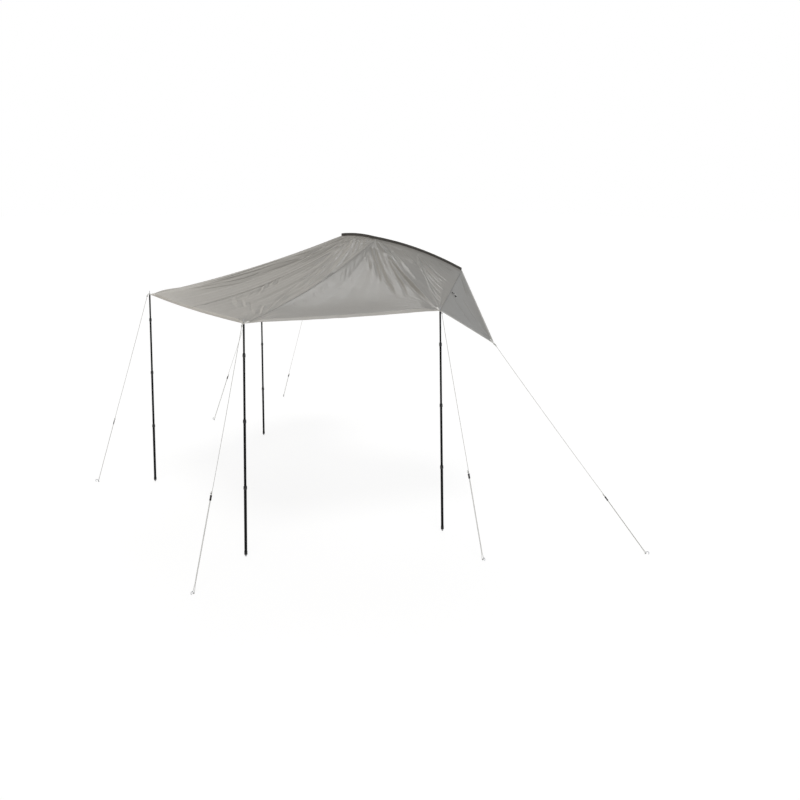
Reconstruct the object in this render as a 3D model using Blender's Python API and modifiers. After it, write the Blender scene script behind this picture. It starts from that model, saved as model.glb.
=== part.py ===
"""Awning, set up: a sewn canopy with two wings, four telescopic poles with
twist locks, six guy lines with runners, and six hook pegs.

Frame: metres, +Z up, z = 0 is the ground.  X runs along the awning's upper
edge, +X to its front end.  Y runs across it, +Y towards the upper edge.  The
origin is on the ground, midway between the feet of the two inner poles.
"""
import math
import bpy
import bmesh
from mathutils import Vector, Matrix

# ---------------------------------------------------------------- dimensions
# pole feet on the ground and pole tops, right half (x > 0); the feet are set
# a little wider than the tops
INNER_FOOT = (1.785, 0.000)
INNER_TOP = (1.672, -0.001, 2.119)
OUTER_FOOT = (1.092, -1.731)
OUTER_TOP = (1.064, -1.624, 2.082)

# upper edge of the canopy, an arch: the awning is fastened along it
PEAK = (0.000, 0.286, 2.682)
SHOULDER = (0.323, 0.286, 2.664)
ARCH_END = (0.928, 0.961, 2.355)
WING_TIP = (1.711, 0.678, 1.740)

# how far the cloth hangs below the straight line between its corners
SAG_HEM_FRONT = 0.022
SAG_HEM_SIDE = 0.014
SAG_CENTRE_SEAM = 0.080
SAG_ROOF_SEAM = 0.072
SAG_CREASE = 0.030
SAG_SIDE = 0.022
SAG_WING = 0.016
ARCH_BULGE = 0.050

CLOTH = 0.003            # thickness of the canopy solids
SEAM_GAP = 0.0025        # each panel stops this far short of its seam
TAPE_WIDTH = 0.026
TAPE_THICK = 0.0030

# telescopic pole, stations along its axis from the foot
R_BOTTOM, R_LOWER, R_UPPER, R_TOP = 0.0125, 0.0110, 0.0095, 0.0080
WALL = 0.0009
Z_BOTTOM_END = 0.643
Z_LOWER_END = 1.243
Z_UPPER_END = 1.813
OVERLAP = 0.070          # length of a fully drawn tube left inside the next
TOP_TUBE_TUCK = 0.363    # the top tube is only half drawn out
COLLAR_BELOW, COLLAR_ABOVE = 0.012, 0.022
PIN_R, PIN_RISE = 0.0026, 0.040
EYELET_R, EYELET_HOLE, EYELET_T = 0.0150, 0.0050, 0.0040
SHOULDER_DROP = 0.0045   # the pole's shoulder stops this far under the eyelet

# guy line, runner and peg
ROPE_R = 0.0020
STRAND = 0.0035          # half the distance between the doubled strands
LOOP_R = 0.0080
RUNNER_L, RUNNER_W, RUNNER_T, RUNNER_HOLE_R = 0.044, 0.018, 0.0085, 0.00245
PEG_R = 0.0030
PEG_SHANK = 0.165
PEG_LEAN = math.radians(25)
HOOK_R = 0.0125
# the line leaves its corner this far out and this far below the cloth
HOLD_OUT, WING_HOLD_OUT, HOLD_DROP = 0.024, 0.010, 0.008
# ground point of each peg and place of the runner along its line
PEGS = {
    "rear_outer": ((-1.445, -2.234), 0.670),
    "front_outer": ((1.404, -2.350), 0.650),
    "rear_inner": ((-2.777, -0.246), 0.680),
    "front_inner": ((2.434, -0.104), 0.665),
    "rear_wing": ((-3.257, 1.148), 0.750),
    "front_wing": ((3.257, 1.148), 0.750),
}

# ---------------------------------------------------------------- scene
for ob in list(bpy.data.objects):
    bpy.data.objects.remove(ob, do_unlink=True)
awning = bpy.data.collections.new("rooftop_tent_awning")
cutters = bpy.data.collections.new("cutters")
bpy.context.scene.collection.children.link(awning)
bpy.context.scene.collection.children.link(cutters)


def material(name, rgb, rough, metal=0.0):
    m = bpy.data.materials.new(name)
    m.use_nodes = True
    b = m.node_tree.nodes["Principled BSDF"]
    b.inputs["Base Color"].default_value = (*rgb, 1)
    b.inputs["Roughness"].default_value = rough
    b.inputs["Metallic"].default_value = metal
    m.diffuse_color = (*rgb, 1)
    return m


MAT = {
    "cloth": material("canopy_cloth", (0.33, 0.32, 0.30), 0.75),
    "tape": material("edge_tape", (0.03, 0.03, 0.03), 0.8),
    "tube": material("pole_tube", (0.012, 0.012, 0.013), 0.38, 0.3),
    "lock": material("twist_lock", (0.02, 0.02, 0.021), 0.5),
    "foot": material("pole_foot", (0.03, 0.03, 0.03), 0.7),
    "eyelet": material("corner_eyelet", (0.52, 0.50, 0.44), 0.6),
    "rope": material("guy_rope", (0.52, 0.52, 0.50), 0.7),
    "runner": material("line_runner", (0.03, 0.027, 0.027), 0.45),
    "peg": material("peg_steel", (0.55, 0.56, 0.58), 0.3, 1.0),
}


def link(ob, mat, coll=awning):
    coll.objects.link(ob)
    if mat:
        ob.data.materials.append(MAT[mat])
    return ob


def from_bmesh(name, bm, mat, coll=awning):
    me = bpy.data.meshes.new(name)
    bm.normal_update()
    bm.to_mesh(me)
    bm.free()
    return link(bpy.data.objects.new(name, me), mat, coll)


def smooth(ob, angle=40):
    ob.data.shade_smooth()
    ob.data.set_sharp_from_angle(angle=math.radians(angle))


def lathe(name, profile, mat, ring=False, steps=16):
    """Turned piece; the profile runs down the outer side, r and z pairs."""
    me = bpy.data.meshes.new(name)
    n = len(profile)
    edges = [(i, i + 1) for i in range(n - 1)] + ([(n - 1, 0)] if ring else [])
    me.from_pydata([(r, 0, z) for r, z in profile], edges, [])
    ob = link(bpy.data.objects.new(name, me), mat)
    s = ob.modifiers.new("turn", "SCREW")
    s.axis = "Z"
    s.steps = s.render_steps = steps
    s.use_merge_vertices = True
    s.merge_threshold = 0.00001
    s.use_smooth_shade = True
    return ob


def wire(name, pts, radius, mat, res=2):
    """Rope or bent wire along the points, with closed ends."""
    cu = bpy.data.curves.new(name, "CURVE")
    cu.dimensions = "3D"
    cu.bevel_depth = radius
    cu.bevel_resolution = res
    cu.use_fill_caps = True
    cu.resolution_u = 1
    sp = cu.splines.new("POLY")
    sp.points.add(len(pts) - 1)
    for p, q in zip(sp.points, pts):
        p.co = (*q, 1)
    return link(bpy.data.objects.new(name, cu), mat)


# ---------------------------------------------------------------- canopy shape
def V(p):
    return Vector(p)


T4, T2 = V(INNER_TOP), V(OUTER_TOP)
M, C, B, W = V(PEAK), V(SHOULDER), V(ARCH_END), V(WING_TIP)


def hang(a, b, t, sag):
    p = a.lerp(b, t)
    p.z -= 4 * sag * t * (1 - t)
    return p


def hem_front(u):
    """u = 0 on the centre line, 1 at the outer pole."""
    t = 0.5 + 0.5 * u
    return hang(V((-T2.x, T2.y, T2.z)), T2, t, SAG_HEM_FRONT)


def centre_seam(v):
    return hang(hem_front(0), M, v, SAG_CENTRE_SEAM)


def roof_seam(v):
    return hang(T2, C, v, SAG_ROOF_SEAM)


def peak_edge(u):
    return M.lerp(C, u) + Vector((0, 0, 0.004 * math.sin(math.pi * u)))


def roof(u, v):
    """Half roof as a blended patch: u from centre seam to roof seam."""
    lo = hem_front(u).lerp(peak_edge(u), v)
    hi = centre_seam(v).lerp(roof_seam(v), u)
    c = (hem_front(0).lerp(hem_front(1), u)).lerp(M.lerp(C, u), v)
    return lo + hi - c


def side(s, r):
    """Side panel as a fan from the shoulder.  s: 0 roof seam, 1 crease down
    to the inner pole, 2 the arch; r: 0 at the shoulder, 1 at the outer rim."""
    if s <= 1:
        rim = hang(T2, T4, s, SAG_HEM_SIDE)
        sag = SAG_ROOF_SEAM * (1 - s) + SAG_CREASE * s + SAG_SIDE * math.sin(math.pi * s)
        out = Vector((0, 0, -1)) * sag
    else:
        k = s - 1
        rim = T4.lerp(B, k)
        down = SAG_CREASE * (1 - k) + SAG_SIDE * math.sin(math.pi * k)
        out = Vector((0, 0, -1)) * down + Vector((0.45, -0.35, 0.82)) * ARCH_BULGE * k * k
    return C.lerp(rim, r) + out * (4 * r * (1 - r))


def wing(s, r):
    """Wing as a fan from its tip.  s: 0 inner pole, 1 arch end."""
    rim = T4.lerp(B, s)
    n = (B - T4).cross(W - T4).normalized()
    return W.lerp(rim, r) + n * (SAG_WING * 4 * r * (1 - r) * math.sin(math.pi * s))


def flip(p, sign):
    return Vector((p.x * sign, p.y, p.z))


def sheet(name, rows, sign):
    """Open surface through rows of points, thickened to the cloth's solid."""
    bm = bmesh.new()
    vs = [[bm.verts.new(flip(p, sign)) for p in row] for row in rows]
    for a, b in zip(vs, vs[1:]):
        for i in range(len(a) - 1):
            f = (a[i], a[i + 1], b[i + 1], b[i])
            bm.faces.new(f if sign > 0 else f[::-1])
    ob = from_bmesh(name, bm, "cloth")
    so = ob.modifiers.new("cloth", "SOLIDIFY")
    so.thickness = CLOTH
    so.offset = 0
    so.use_even_offset = True
    return ob


def steps(a, b, n):
    return [a + (b - a) * i / n for i in range(n + 1)]


# roof: both halves in one cloth, creased along the centre seam
rows = []
for v in steps(0.0, 1 - SEAM_GAP / 2.0, 8):
    edge = 1 - SEAM_GAP / (roof(1, v).x)
    half = [roof(u, v) for u in steps(0, edge, 5)]
    rows.append([flip(p, -1) for p in half[:0:-1]] + half)
panels = {"roof_panel": sheet("roof_panel", rows, 1)}

for side_name, sign in (("front", 1), ("rear", -1)):
    rows = []
    for r in steps(0.035, 1, 7):
        size = max(r, 0.03)
        s0 = SEAM_GAP / (1.70 * size)
        s2 = 2 - SEAM_GAP / (1.20 * size)
        row = []
        for s in steps(s0, 1, 6) + steps(1, s2, 5)[1:]:
            # the rim beside the wing keeps clear of the seam
            rr = r if s <= 1 else r * (1 - SEAM_GAP / 1.0 * (s - 1) * 1.0)
            row.append(side(s, rr))
        rows.append(row)
    panels[side_name + "_side_panel"] = sheet(side_name + "_side_panel", rows, sign)
    rows = []
    for r in steps(0.0, 1 - 2 * SEAM_GAP, 5):
        rr = max(r, 0.02)
        rows.append([wing(s, rr) for s in steps(0, 1, 4)])
    panels[side_name + "_wing"] = sheet(side_name + "_wing", rows, sign)


# ---------------------------------------------------------------- upper edge tape
def arch(t):
    """Upper edge from the peak (0) over the shoulder (1) to its end (2)."""
    return peak_edge(t) if t <= 1 else side(2.0, t - 1)


pts = [arch(t) for t in (0.16, 0.55, 0.92, 1.10, 1.28, 1.46, 1.64, 1.82, 1.995)]
line = [flip(p, -1) for p in reversed(pts)] + pts
bm = bmesh.new()
rings = []
for i, p in enumerate(line):
    a, b = line[max(i - 1, 0)], line[min(i + 1, len(line) - 1)]
    run = b - a
    if i in (len(pts) - 1, len(pts)):
        run = Vector((1, 0, 0))
    back = Vector((-run.y, run.x, 0)).normalized()
    base = p + Vector((0, 0, 0.0022)) + back * 0.0006
    if i in (len(pts) - 1, len(pts)):
        base.z = pts[0].z + 0.0022
    ring = []
    for w, t in ((0, 0), (0, 1), (1, 1), (1, 0)):
        ring.append(bm.verts.new(base + Vector((0, 0, TAPE_WIDTH * w)) + back * TAPE_THICK * t))
    rings.append(ring)
for a, b in zip(rings, rings[1:]):
    for i in range(4):
        j = (i + 1) % 4
        bm.faces.new((a[i], a[j], b[j], b[i]))
bm.faces.new(rings[0][::-1])
bm.faces.new(rings[-1])
bmesh.ops.recalc_face_normals(bm, faces=bm.faces)
from_bmesh("upper_edge_tape", bm, "tape")


# ---------------------------------------------------------------- poles
def pole_frame(foot, top):
    """Matrix at the pole's top, its local +Z up along the pole."""
    f, t = V((*foot, 0)), V(top)
    u = (t - f).normalized()
    x = Vector((0, 1, 0)).cross(u).normalized()
    y = u.cross(x)
    m = Matrix((x, y, u)).transposed().to_4x4()
    m.translation = t
    return m, (t - f).length


CORNERS = {
    "front_inner": (INNER_FOOT, INNER_TOP, 1),
    "rear_inner": (INNER_FOOT, INNER_TOP, -1),
    "front_outer": (OUTER_FOOT, OUTER_TOP, 1),
    "rear_outer": (OUTER_FOOT, OUTER_TOP, -1),
}


def tube(name, r, z0, z1):
    c = 0.0004
    return lathe(name, [(r - c, z1), (r, z1 - c), (r, z0 + c), (r - c, z0),
                        (r - WALL, z0), (r - WALL, z1)], "tube", ring=True)


def collar(name, z, r_big, r_small):
    """Twist lock round the open end of the bigger tube, at station z."""
    b0, b1 = z - COLLAR_BELOW, z + COLLAR_ABOVE
    g = 0.0005
    ro = r_big + 0.0036
    prof = [(r_small + 0.0018, b1), (ro - 0.0010, b1 - 0.0050), (ro, b1 - 0.012),
            (ro, b0 + 0.012), (ro - 0.0008, b0 + 0.003), (r_big + 0.0014, b0),
            (r_big + g, b0), (r_big + g, z + 0.0005), (r_small + g, z + 0.0005),
            (r_small + g, b1)]
    return lathe(name, prof, "lock", ring=True)


for corner, (foot, top, sign) in CORNERS.items():
    foot, top = (foot[0] * sign, foot[1]), (top[0] * sign, top[1], top[2])
    m, length = pole_frame(foot, top)
    axis = bpy.data.objects.new(corner + "_pole_axis", None)
    axis.empty_display_size = 0.1
    awning.objects.link(axis)
    axis.matrix_world = m
    n = corner + "_"
    L = length
    pieces = []
    # foot: a cup that the bottom tube stands in, on a narrow blunt tip
    pieces.append(lathe(n + "foot", [
        (0, 0.0220), (R_BOTTOM + 0.0003, 0.0220), (R_BOTTOM + 0.0003, 0.0500),
        (R_BOTTOM + 0.0016, 0.0500), (R_BOTTOM + 0.0018, 0.0200),
        (R_BOTTOM + 0.0010, 0.0175), (0.0088, 0.0165), (0.0082, 0.0030),
        (0.0068, 0.0), (0, 0.0)], "foot"))
    pieces.append(tube(n + "bottom_tube", R_BOTTOM, 0.0223, Z_BOTTOM_END))
    pieces.append(tube(n + "lower_tube", R_LOWER, Z_BOTTOM_END - OVERLAP, Z_LOWER_END))
    pieces.append(tube(n + "upper_tube", R_UPPER, Z_LOWER_END - OVERLAP, Z_UPPER_END))
    # top tube: open below, closed above by a shoulder that carries the pin
    z0 = Z_UPPER_END - TOP_TUBE_TUCK
    zs = L - SHOULDER_DROP
    ri = R_TOP - WALL
    pieces.append(lathe(n + "top_tube", [
        (0, L + PIN_RISE), (0.0012, L + PIN_RISE - 0.0006), (PIN_R, L + PIN_RISE - 0.006),
        (PIN_R, zs + 0.0004), (0.0062, zs), (R_TOP, zs - 0.0022), (R_TOP, z0),
        (ri, z0), (ri, zs - 0.030), (0, zs - 0.030)], "tube"))
    pieces.append(collar(n + "collar_low", Z_BOTTOM_END, R_BOTTOM, R_LOWER))
    pieces.append(collar(n + "collar_mid", Z_LOWER_END, R_LOWER, R_UPPER))
    pieces.append(collar(n + "collar_high", Z_UPPER_END, R_UPPER, R_TOP))
    for ob in pieces:
        ob.parent = axis
        ob.location = (0, 0, -L)
    # eyelet pressed into the corner of the canopy, flat side down
    h = EYELET_T / 2
    e = lathe(n + "eyelet", [
        (EYELET_HOLE + 0.001, h), (EYELET_R - 0.004, h), (EYELET_R - 0.0005, h * 0.3),
        (EYELET_R - 0.0005, -h * 0.5), (EYELET_R - 0.003, -h), (EYELET_HOLE, -h),
        (EYELET_HOLE, h * 0.6)], "eyelet", ring=True)
    e.location = V(top)

# the panels end round the eyelets
bpy.context.view_layer.update()
for name, ob in panels.items():
    for corner, (foot, top, sign) in CORNERS.items():
        p = V((top[0] * sign, top[1], top[2]))
        near = min((ob.matrix_world @ v.co - p).length for v in ob.data.vertices)
        if near > 0.05:
            continue
        bm = bmesh.new()
        bmesh.ops.create_cone(bm, cap_ends=True, segments=16, radius1=EYELET_R + 0.0004,
                              radius2=EYELET_R + 0.0004, depth=0.12)
        c = from_bmesh("cut_" + name + "_" + corner, bm, None, cutters)
        c.location = p
        c.display_type = "WIRE"
        c.hide_render = True
        bo = ob.modifiers.new("eyelet", "BOOLEAN")
        bo.operation = "DIFFERENCE"
        bo.solver = "EXACT"
        bo.object = c


# ---------------------------------------------------------------- guy lines
def guy(name, hold, peg_xy, runner_t):
    """Rope from hold down through the runner, round the peg and back up."""
    ground = V((*peg_xy, 0))
    out = V((peg_xy[0] - hold.x, peg_xy[1] - hold.y, 0)).normalized()
    cross = Vector((0, 0, 1)).cross(out)
    up_shank = (out * math.sin(PEG_LEAN) + Vector((0, 0, 1)) * math.cos(PEG_LEAN))
    p0 = ground + up_shank * 0.013
    run = (hold - p0).normalized()
    tilt = abs(run.cross(cross).dot(up_shank))
    inner = LOOP_R - ROPE_R
    c0 = p0 + run * (inner - PEG_R / tilt - 0.0020)
    length = (hold - c0).length
    d_runner = length * (1 - runner_t)
    top_run = d_runner + RUNNER_L / 2
    pts = [hold]
    n_up = 12
    for i in range(1, n_up):
        k = i / n_up
        d = length + (top_run + 0.02 - length) * k
        off = STRAND * k * k * (3 - 2 * k)
        sag = 0.008 * 4 * k * (1 - k)
        pts.append(c0 + run * d + cross * off - Vector((0, 0, sag)))
    down = [top_run + 0.02, d_runner, d_runner * 0.8, d_runner * 0.6, d_runner * 0.4,
            d_runner * 0.22, 0.075]
    for d in down:
        pts.append(c0 + run * d + cross * STRAND)

    def flare(k):
        return STRAND + (LOOP_R - STRAND) * k * k * (3 - 2 * k)

    for i in range(1, 6):
        k = i / 5
        pts.append(c0 + run * (0.075 * (1 - k)) + cross * flare(k))
    for i in range(1, 8):
        a = math.pi * i / 8
        pts.append(c0 + cross * LOOP_R * math.cos(a) - run * LOOP_R * math.sin(a))
    for i in range(0, 5):
        k = 1 - i / 5
        pts.append(c0 + run * (0.075 * (1 - k)) - cross * flare(k))
    for d in down[:0:-1] + [top_run + 0.014]:
        pts.append(c0 + run * d - cross * STRAND)
    wire(name + "_guy_line", pts, ROPE_R, "rope")

    # runner: a small bar with two holes along the strands
    bm = bmesh.new()
    bmesh.ops.create_cube(bm, size=1)
    bmesh.ops.scale(bm, vec=(RUNNER_W, RUNNER_T, RUNNER_L), verts=bm.verts)
    bmesh.ops.bevel(bm, geom=bm.edges[:], offset=0.0014, segments=2, affect="EDGES", profile=0.6)
    ob = from_bmesh(name + "_runner", bm, "runner")
    y = run.cross(cross)
    m = Matrix((cross, y, run)).transposed().to_4x4()
    m.translation = c0 + run * d_runner
    ob.matrix_world = m
    for k in (-1, 1):
        bm = bmesh.new()
        bmesh.ops.create_cone(bm, cap_ends=True, segments=12, radius1=RUNNER_HOLE_R,
                              radius2=RUNNER_HOLE_R, depth=RUNNER_L * 1.5)
        c = from_bmesh("cut_%s_%d" % (name, k), bm, None, cutters)
        c.matrix_world = m @ Matrix.Translation((STRAND * k, 0, 0))
        c.display_type = "WIRE"
        c.hide_render = True
        bo = ob.modifiers.new("hole", "BOOLEAN")
        bo.operation = "DIFFERENCE"
        bo.solver = "EXACT"
        bo.object = c

    # peg: straight shank in the ground, hook over the loop
    tip = ground - up_shank * PEG_SHANK
    top = ground + up_shank * 0.026
    side_dir = cross.cross(up_shank).normalized()
    if side_dir.dot(out) < 0:
        side_dir = -side_dir
    path = [tip, tip + up_shank * 0.012, tip.lerp(top, 0.5), top]
    centre = top + side_dir * HOOK_R
    for i in range(1, 8):
        a = math.radians(205) * i / 7
        path.append(centre - side_dir * HOOK_R * math.cos(a) + up_shank * HOOK_R * math.sin(a))
    wire(name + "_peg", path, PEG_R, "peg")


for name, (peg, t) in PEGS.items():
    corner = CORNERS.get(name)
    if corner:
        foot, top, sign = corner
        p = V((top[0] * sign, top[1], top[2]))
        away = V((peg[0] - p.x, peg[1] - p.y, 0)).normalized()
        p = p + away * HOLD_OUT - Vector((0, 0, HOLD_DROP))
    else:
        sign = 1 if name.startswith("front") else -1
        p = flip(W, sign)
        away = V((peg[0] - p.x, peg[1] - p.y, 0)).normalized()
        p = p + away * WING_HOLD_OUT - Vector((0, 0, HOLD_DROP))
    guy(name, p, peg, t)

for ob in awning.objects:
    if ob.type == "MESH" and not any(mo.type == "SCREW" for mo in ob.modifiers):
        if ob.name in panels or ob.name.endswith("_runner"):
            smooth(ob, 50)
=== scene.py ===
import math

import bmesh
import bpy
import numpy as np
from mathutils import Matrix, Vector
from mathutils.bvhtree import BVHTree


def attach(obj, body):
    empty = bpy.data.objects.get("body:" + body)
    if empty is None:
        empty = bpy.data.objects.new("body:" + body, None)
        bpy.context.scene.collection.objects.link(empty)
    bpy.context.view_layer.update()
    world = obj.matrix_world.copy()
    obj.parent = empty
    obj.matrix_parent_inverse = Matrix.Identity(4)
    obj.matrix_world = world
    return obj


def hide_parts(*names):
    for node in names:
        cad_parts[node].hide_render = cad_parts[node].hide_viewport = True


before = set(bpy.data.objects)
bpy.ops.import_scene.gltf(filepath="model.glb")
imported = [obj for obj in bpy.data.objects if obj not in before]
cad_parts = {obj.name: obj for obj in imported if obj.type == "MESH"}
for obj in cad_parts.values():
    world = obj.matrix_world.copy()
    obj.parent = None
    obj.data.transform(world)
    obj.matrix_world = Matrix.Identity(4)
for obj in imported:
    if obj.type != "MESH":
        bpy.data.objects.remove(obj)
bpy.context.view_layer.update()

# ============================================================== dimensions
# The same numbers as the construction, in metres; the rear half is x < 0.
INNER_FOOT = (1.785, 0.000)
INNER_TOP = (1.672, -0.001, 2.119)
OUTER_FOOT = (1.092, -1.731)
OUTER_TOP = (1.064, -1.624, 2.082)
PEAK = (0.000, 0.286, 2.682)
SHOULDER = (0.323, 0.286, 2.664)
ARCH_END = (0.928, 0.961, 2.355)
WING_TIP = (1.711, 0.678, 1.740)
SAG_HEM_FRONT, SAG_HEM_SIDE = 0.022, 0.014
SAG_CENTRE_SEAM, SAG_ROOF_SEAM = 0.080, 0.072
SAG_CREASE, SAG_SIDE, SAG_WING, ARCH_BULGE = 0.030, 0.022, 0.016, 0.050
R_BOTTOM, R_LOWER, R_UPPER, R_TOP = 0.0125, 0.0110, 0.0095, 0.0080
WALL = 0.0009
Z_BOTTOM_END, Z_LOWER_END, Z_UPPER_END = 0.643, 1.243, 1.813
OVERLAP, TOP_TUBE_TUCK = 0.070, 0.363
COLLAR_BELOW, COLLAR_ABOVE = 0.012, 0.022
PIN_R, PIN_RISE, SHOULDER_DROP = 0.0026, 0.040, 0.0045
ROPE_R, STRAND, LOOP_R = 0.0020, 0.0035, 0.0080
RUNNER_L, RUNNER_W, RUNNER_T = 0.044, 0.018, 0.0085
PEG_R, PEG_SHANK, PEG_LEAN, HOOK_R = 0.0030, 0.165, math.radians(25), 0.0125
HOLD_OUT, WING_HOLD_OUT, HOLD_DROP = 0.024, 0.010, 0.008
PEGS = {
    "rear_outer": ((-1.445, -2.234), 0.670),
    "front_outer": ((1.404, -2.350), 0.650),
    "rear_inner": ((-2.777, -0.246), 0.680),
    "front_inner": ((2.434, -0.104), 0.665),
    "rear_wing": ((-3.257, 1.148), 0.750),
    "front_wing": ((3.257, 1.148), 0.750),
}
CORNERS = {
    "front_inner": (INNER_FOOT, INNER_TOP, 1),
    "rear_inner": (INNER_FOOT, INNER_TOP, -1),
    "front_outer": (OUTER_FOOT, OUTER_TOP, 1),
    "rear_outer": (OUTER_FOOT, OUTER_TOP, -1),
}
MM = 0.001

# ============================================================== camera
CAM_POS = np.array((6.4391, -4.2906, 3.1301))
YAW, PITCH, ROLL = (math.radians(a) for a in (-51.154, 16.092, 0.613))
FOCAL_PX = 718.39
fw = np.array((math.sin(YAW) * math.cos(PITCH), math.cos(YAW) * math.cos(PITCH), -math.sin(PITCH)))
rt = np.array((math.cos(YAW), -math.sin(YAW), 0.0))
up = np.cross(rt, fw)
cam_r = rt * math.cos(ROLL) + up * math.sin(ROLL)
cam_u = up * math.cos(ROLL) - rt * math.sin(ROLL)
cam_data = bpy.data.cameras.new("camera")
cam_data.sensor_width = 36.0
cam_data.lens = FOCAL_PX * 36.0 / 800.0
cam_data.clip_start, cam_data.clip_end = 0.05, 200.0
camera = bpy.data.objects.new("camera", cam_data)
bpy.context.scene.collection.objects.link(camera)
cm = Matrix((cam_r, cam_u, -fw)).transposed().to_4x4()
cm.translation = Vector(CAM_POS)
camera.matrix_world = cm
bpy.context.scene.camera = camera


def sight(px, py):
    """Direction from the camera through a point of the 800 x 800 picture."""
    d = fw + cam_r * ((px - 400.0) / FOCAL_PX) - cam_u * ((py - 400.0) / FOCAL_PX)
    return d / np.linalg.norm(d)


# ============================================================== mesh helpers
def vec(*p):
    return np.array(p, float)


def unit(v):
    v = np.asarray(v, float)
    return v / np.maximum(np.linalg.norm(v, axis=-1, keepdims=True), 1e-12)


def smoothstep(x):
    x = np.clip(x, 0.0, 1.0)
    return x * x * (3 - 2 * x)


class Shape:
    """Vertices, faces and UVs of one piece, gathered before the mesh is made."""

    def __init__(self):
        self.v, self.f, self.uv, self.n = [], [], [], 0

    def add(self, verts, faces, uvs=None):
        verts = np.asarray(verts, float).reshape(-1, 3)
        base = self.n
        self.v.append(verts)
        self.n += len(verts)
        for k, f in enumerate(faces):
            f = np.asarray(f, int)
            if len(f) == 0:
                continue
            self.f.append(f + base)
            self.uv.append(np.zeros((*f.shape, 2)) if uvs is None else np.asarray(uvs[k], float))
        return base

    def make(self, name, material, body="root", angle=40, recalc=True):
        verts = np.concatenate(self.v)
        me = bpy.data.meshes.new(name)
        loops = np.concatenate([f.ravel() for f in self.f])
        sizes = np.concatenate([np.full(len(f), f.shape[1]) for f in self.f])
        starts = np.concatenate([[0], np.cumsum(sizes)[:-1]])
        me.vertices.add(len(verts))
        me.vertices.foreach_set("co", verts.astype(np.float32).ravel())
        me.loops.add(len(loops))
        me.loops.foreach_set("vertex_index", loops.astype(np.int32))
        me.polygons.add(len(sizes))
        me.polygons.foreach_set("loop_start", starts.astype(np.int32))
        me.update(calc_edges=True)
        uv = np.concatenate([u.reshape(-1, 2) for u in self.uv])
        me.uv_layers.new(name="metres").data.foreach_set("uv", uv.astype(np.float32).ravel())
        me.validate(clean_customdata=False)
        if recalc:
            bm = bmesh.new()
            bm.from_mesh(me)
            bmesh.ops.recalc_face_normals(bm, faces=bm.faces)
            bm.to_mesh(me)
            bm.free()
        me.shade_smooth()
        if angle:
            me.set_sharp_from_angle(angle=math.radians(angle))
        me.materials.append(material)
        ob = bpy.data.objects.new(name, me)
        bpy.context.scene.collection.objects.link(ob)
        if body:
            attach(ob, body)
        return ob


def lattice(m, n, close_m=False, close_n=False):
    """Quads over m x n vertices, and the (i, j) of each face corner."""
    i, j = np.meshgrid(np.arange(m if close_m else m - 1), np.arange(n if close_n else n - 1),
                       indexing="ij")
    i, j = i.ravel(), j.ravel()
    f = np.stack([i * n + j, i * n + (j + 1) % n, ((i + 1) % m) * n + (j + 1) % n, ((i + 1) % m) * n + j], 1)
    ij = np.stack([np.stack([i, j], 1), np.stack([i, j + 1], 1),
                   np.stack([i + 1, j + 1], 1), np.stack([i + 1, j], 1)], 1)
    return f, ij


def add_loft(shape, P, close_m=False, close_n=True, caps=True):
    """Skin through the rows of P (m, n, 3), its UV in metres."""
    P = np.asarray(P, float)
    m, n = P.shape[:2]
    f, ij = lattice(m, n, close_m, close_n)
    along = np.concatenate([[0], np.cumsum(np.linalg.norm(np.diff(P.mean(1), axis=0), axis=1))])
    mid = P[m // 2]
    ring = np.concatenate([mid, mid[:1]]) if close_n else mid
    across = np.concatenate([[0], np.cumsum(np.linalg.norm(np.diff(ring, axis=0), axis=1))])
    along = np.append(along, along[-1] + (along[1] if m > 1 else 0))
    across = np.append(across, across[-1])
    uv = np.stack([across[ij[..., 1]], along[ij[..., 0]]], -1)
    faces, uvs = [f], [uv]
    if close_n and caps and not close_m:
        a = np.arange(n)[None, ::-1]
        b = (m - 1) * n + np.arange(n)[None]
        flat = np.stack([np.cos(np.arange(n) * 2 * np.pi / n), np.sin(np.arange(n) * 2 * np.pi / n)], -1)[None] * 0.004
        faces += [a, b]
        uvs += [flat, flat]
    shape.add(P.reshape(-1, 3), faces, uvs)


def frames_along(path, start_normal=None, closed=False):
    """Turning-free normals along a path."""
    path = np.asarray(path, float)
    if closed:
        t = unit(np.roll(path, -1, 0) - np.roll(path, 1, 0))
    else:
        t = unit(np.gradient(path, axis=0))
    n = np.zeros_like(path)
    a = np.asarray(start_normal if start_normal is not None else (0.0, 0.0, 1.0), float)
    if abs(np.dot(a, t[0])) > 0.95:
        a = vec(1, 0, 0)
    n[0] = unit(a - t[0] * np.dot(a, t[0]))
    for i in range(1, len(path)):
        v = n[i - 1] - t[i] * np.dot(n[i - 1], t[i])
        n[i] = unit(v)
    return t, n, np.cross(t, n)


def add_tube(shape, path, radius, sides=12, closed=False, relief=None):
    """Round tube; radius is a number or one for each point."""
    path = np.asarray(path, float)
    t, n, b = frames_along(path, closed=closed)
    r = np.broadcast_to(np.asarray(radius, float), (len(path),))
    th = np.arange(sides) * 2 * np.pi / sides
    rr = np.repeat(r[:, None], sides, 1)
    if relief is not None:
        s = np.concatenate([[0], np.cumsum(np.linalg.norm(np.diff(path, axis=0), axis=1))])
        rr = rr + relief(th[None], s[:, None])
    P = path[:, None] + rr[..., None] * (np.cos(th)[None, :, None] * n[:, None] + np.sin(th)[None, :, None] * b[:, None])
    add_loft(shape, P, close_m=closed, close_n=True, caps=not closed)


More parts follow.
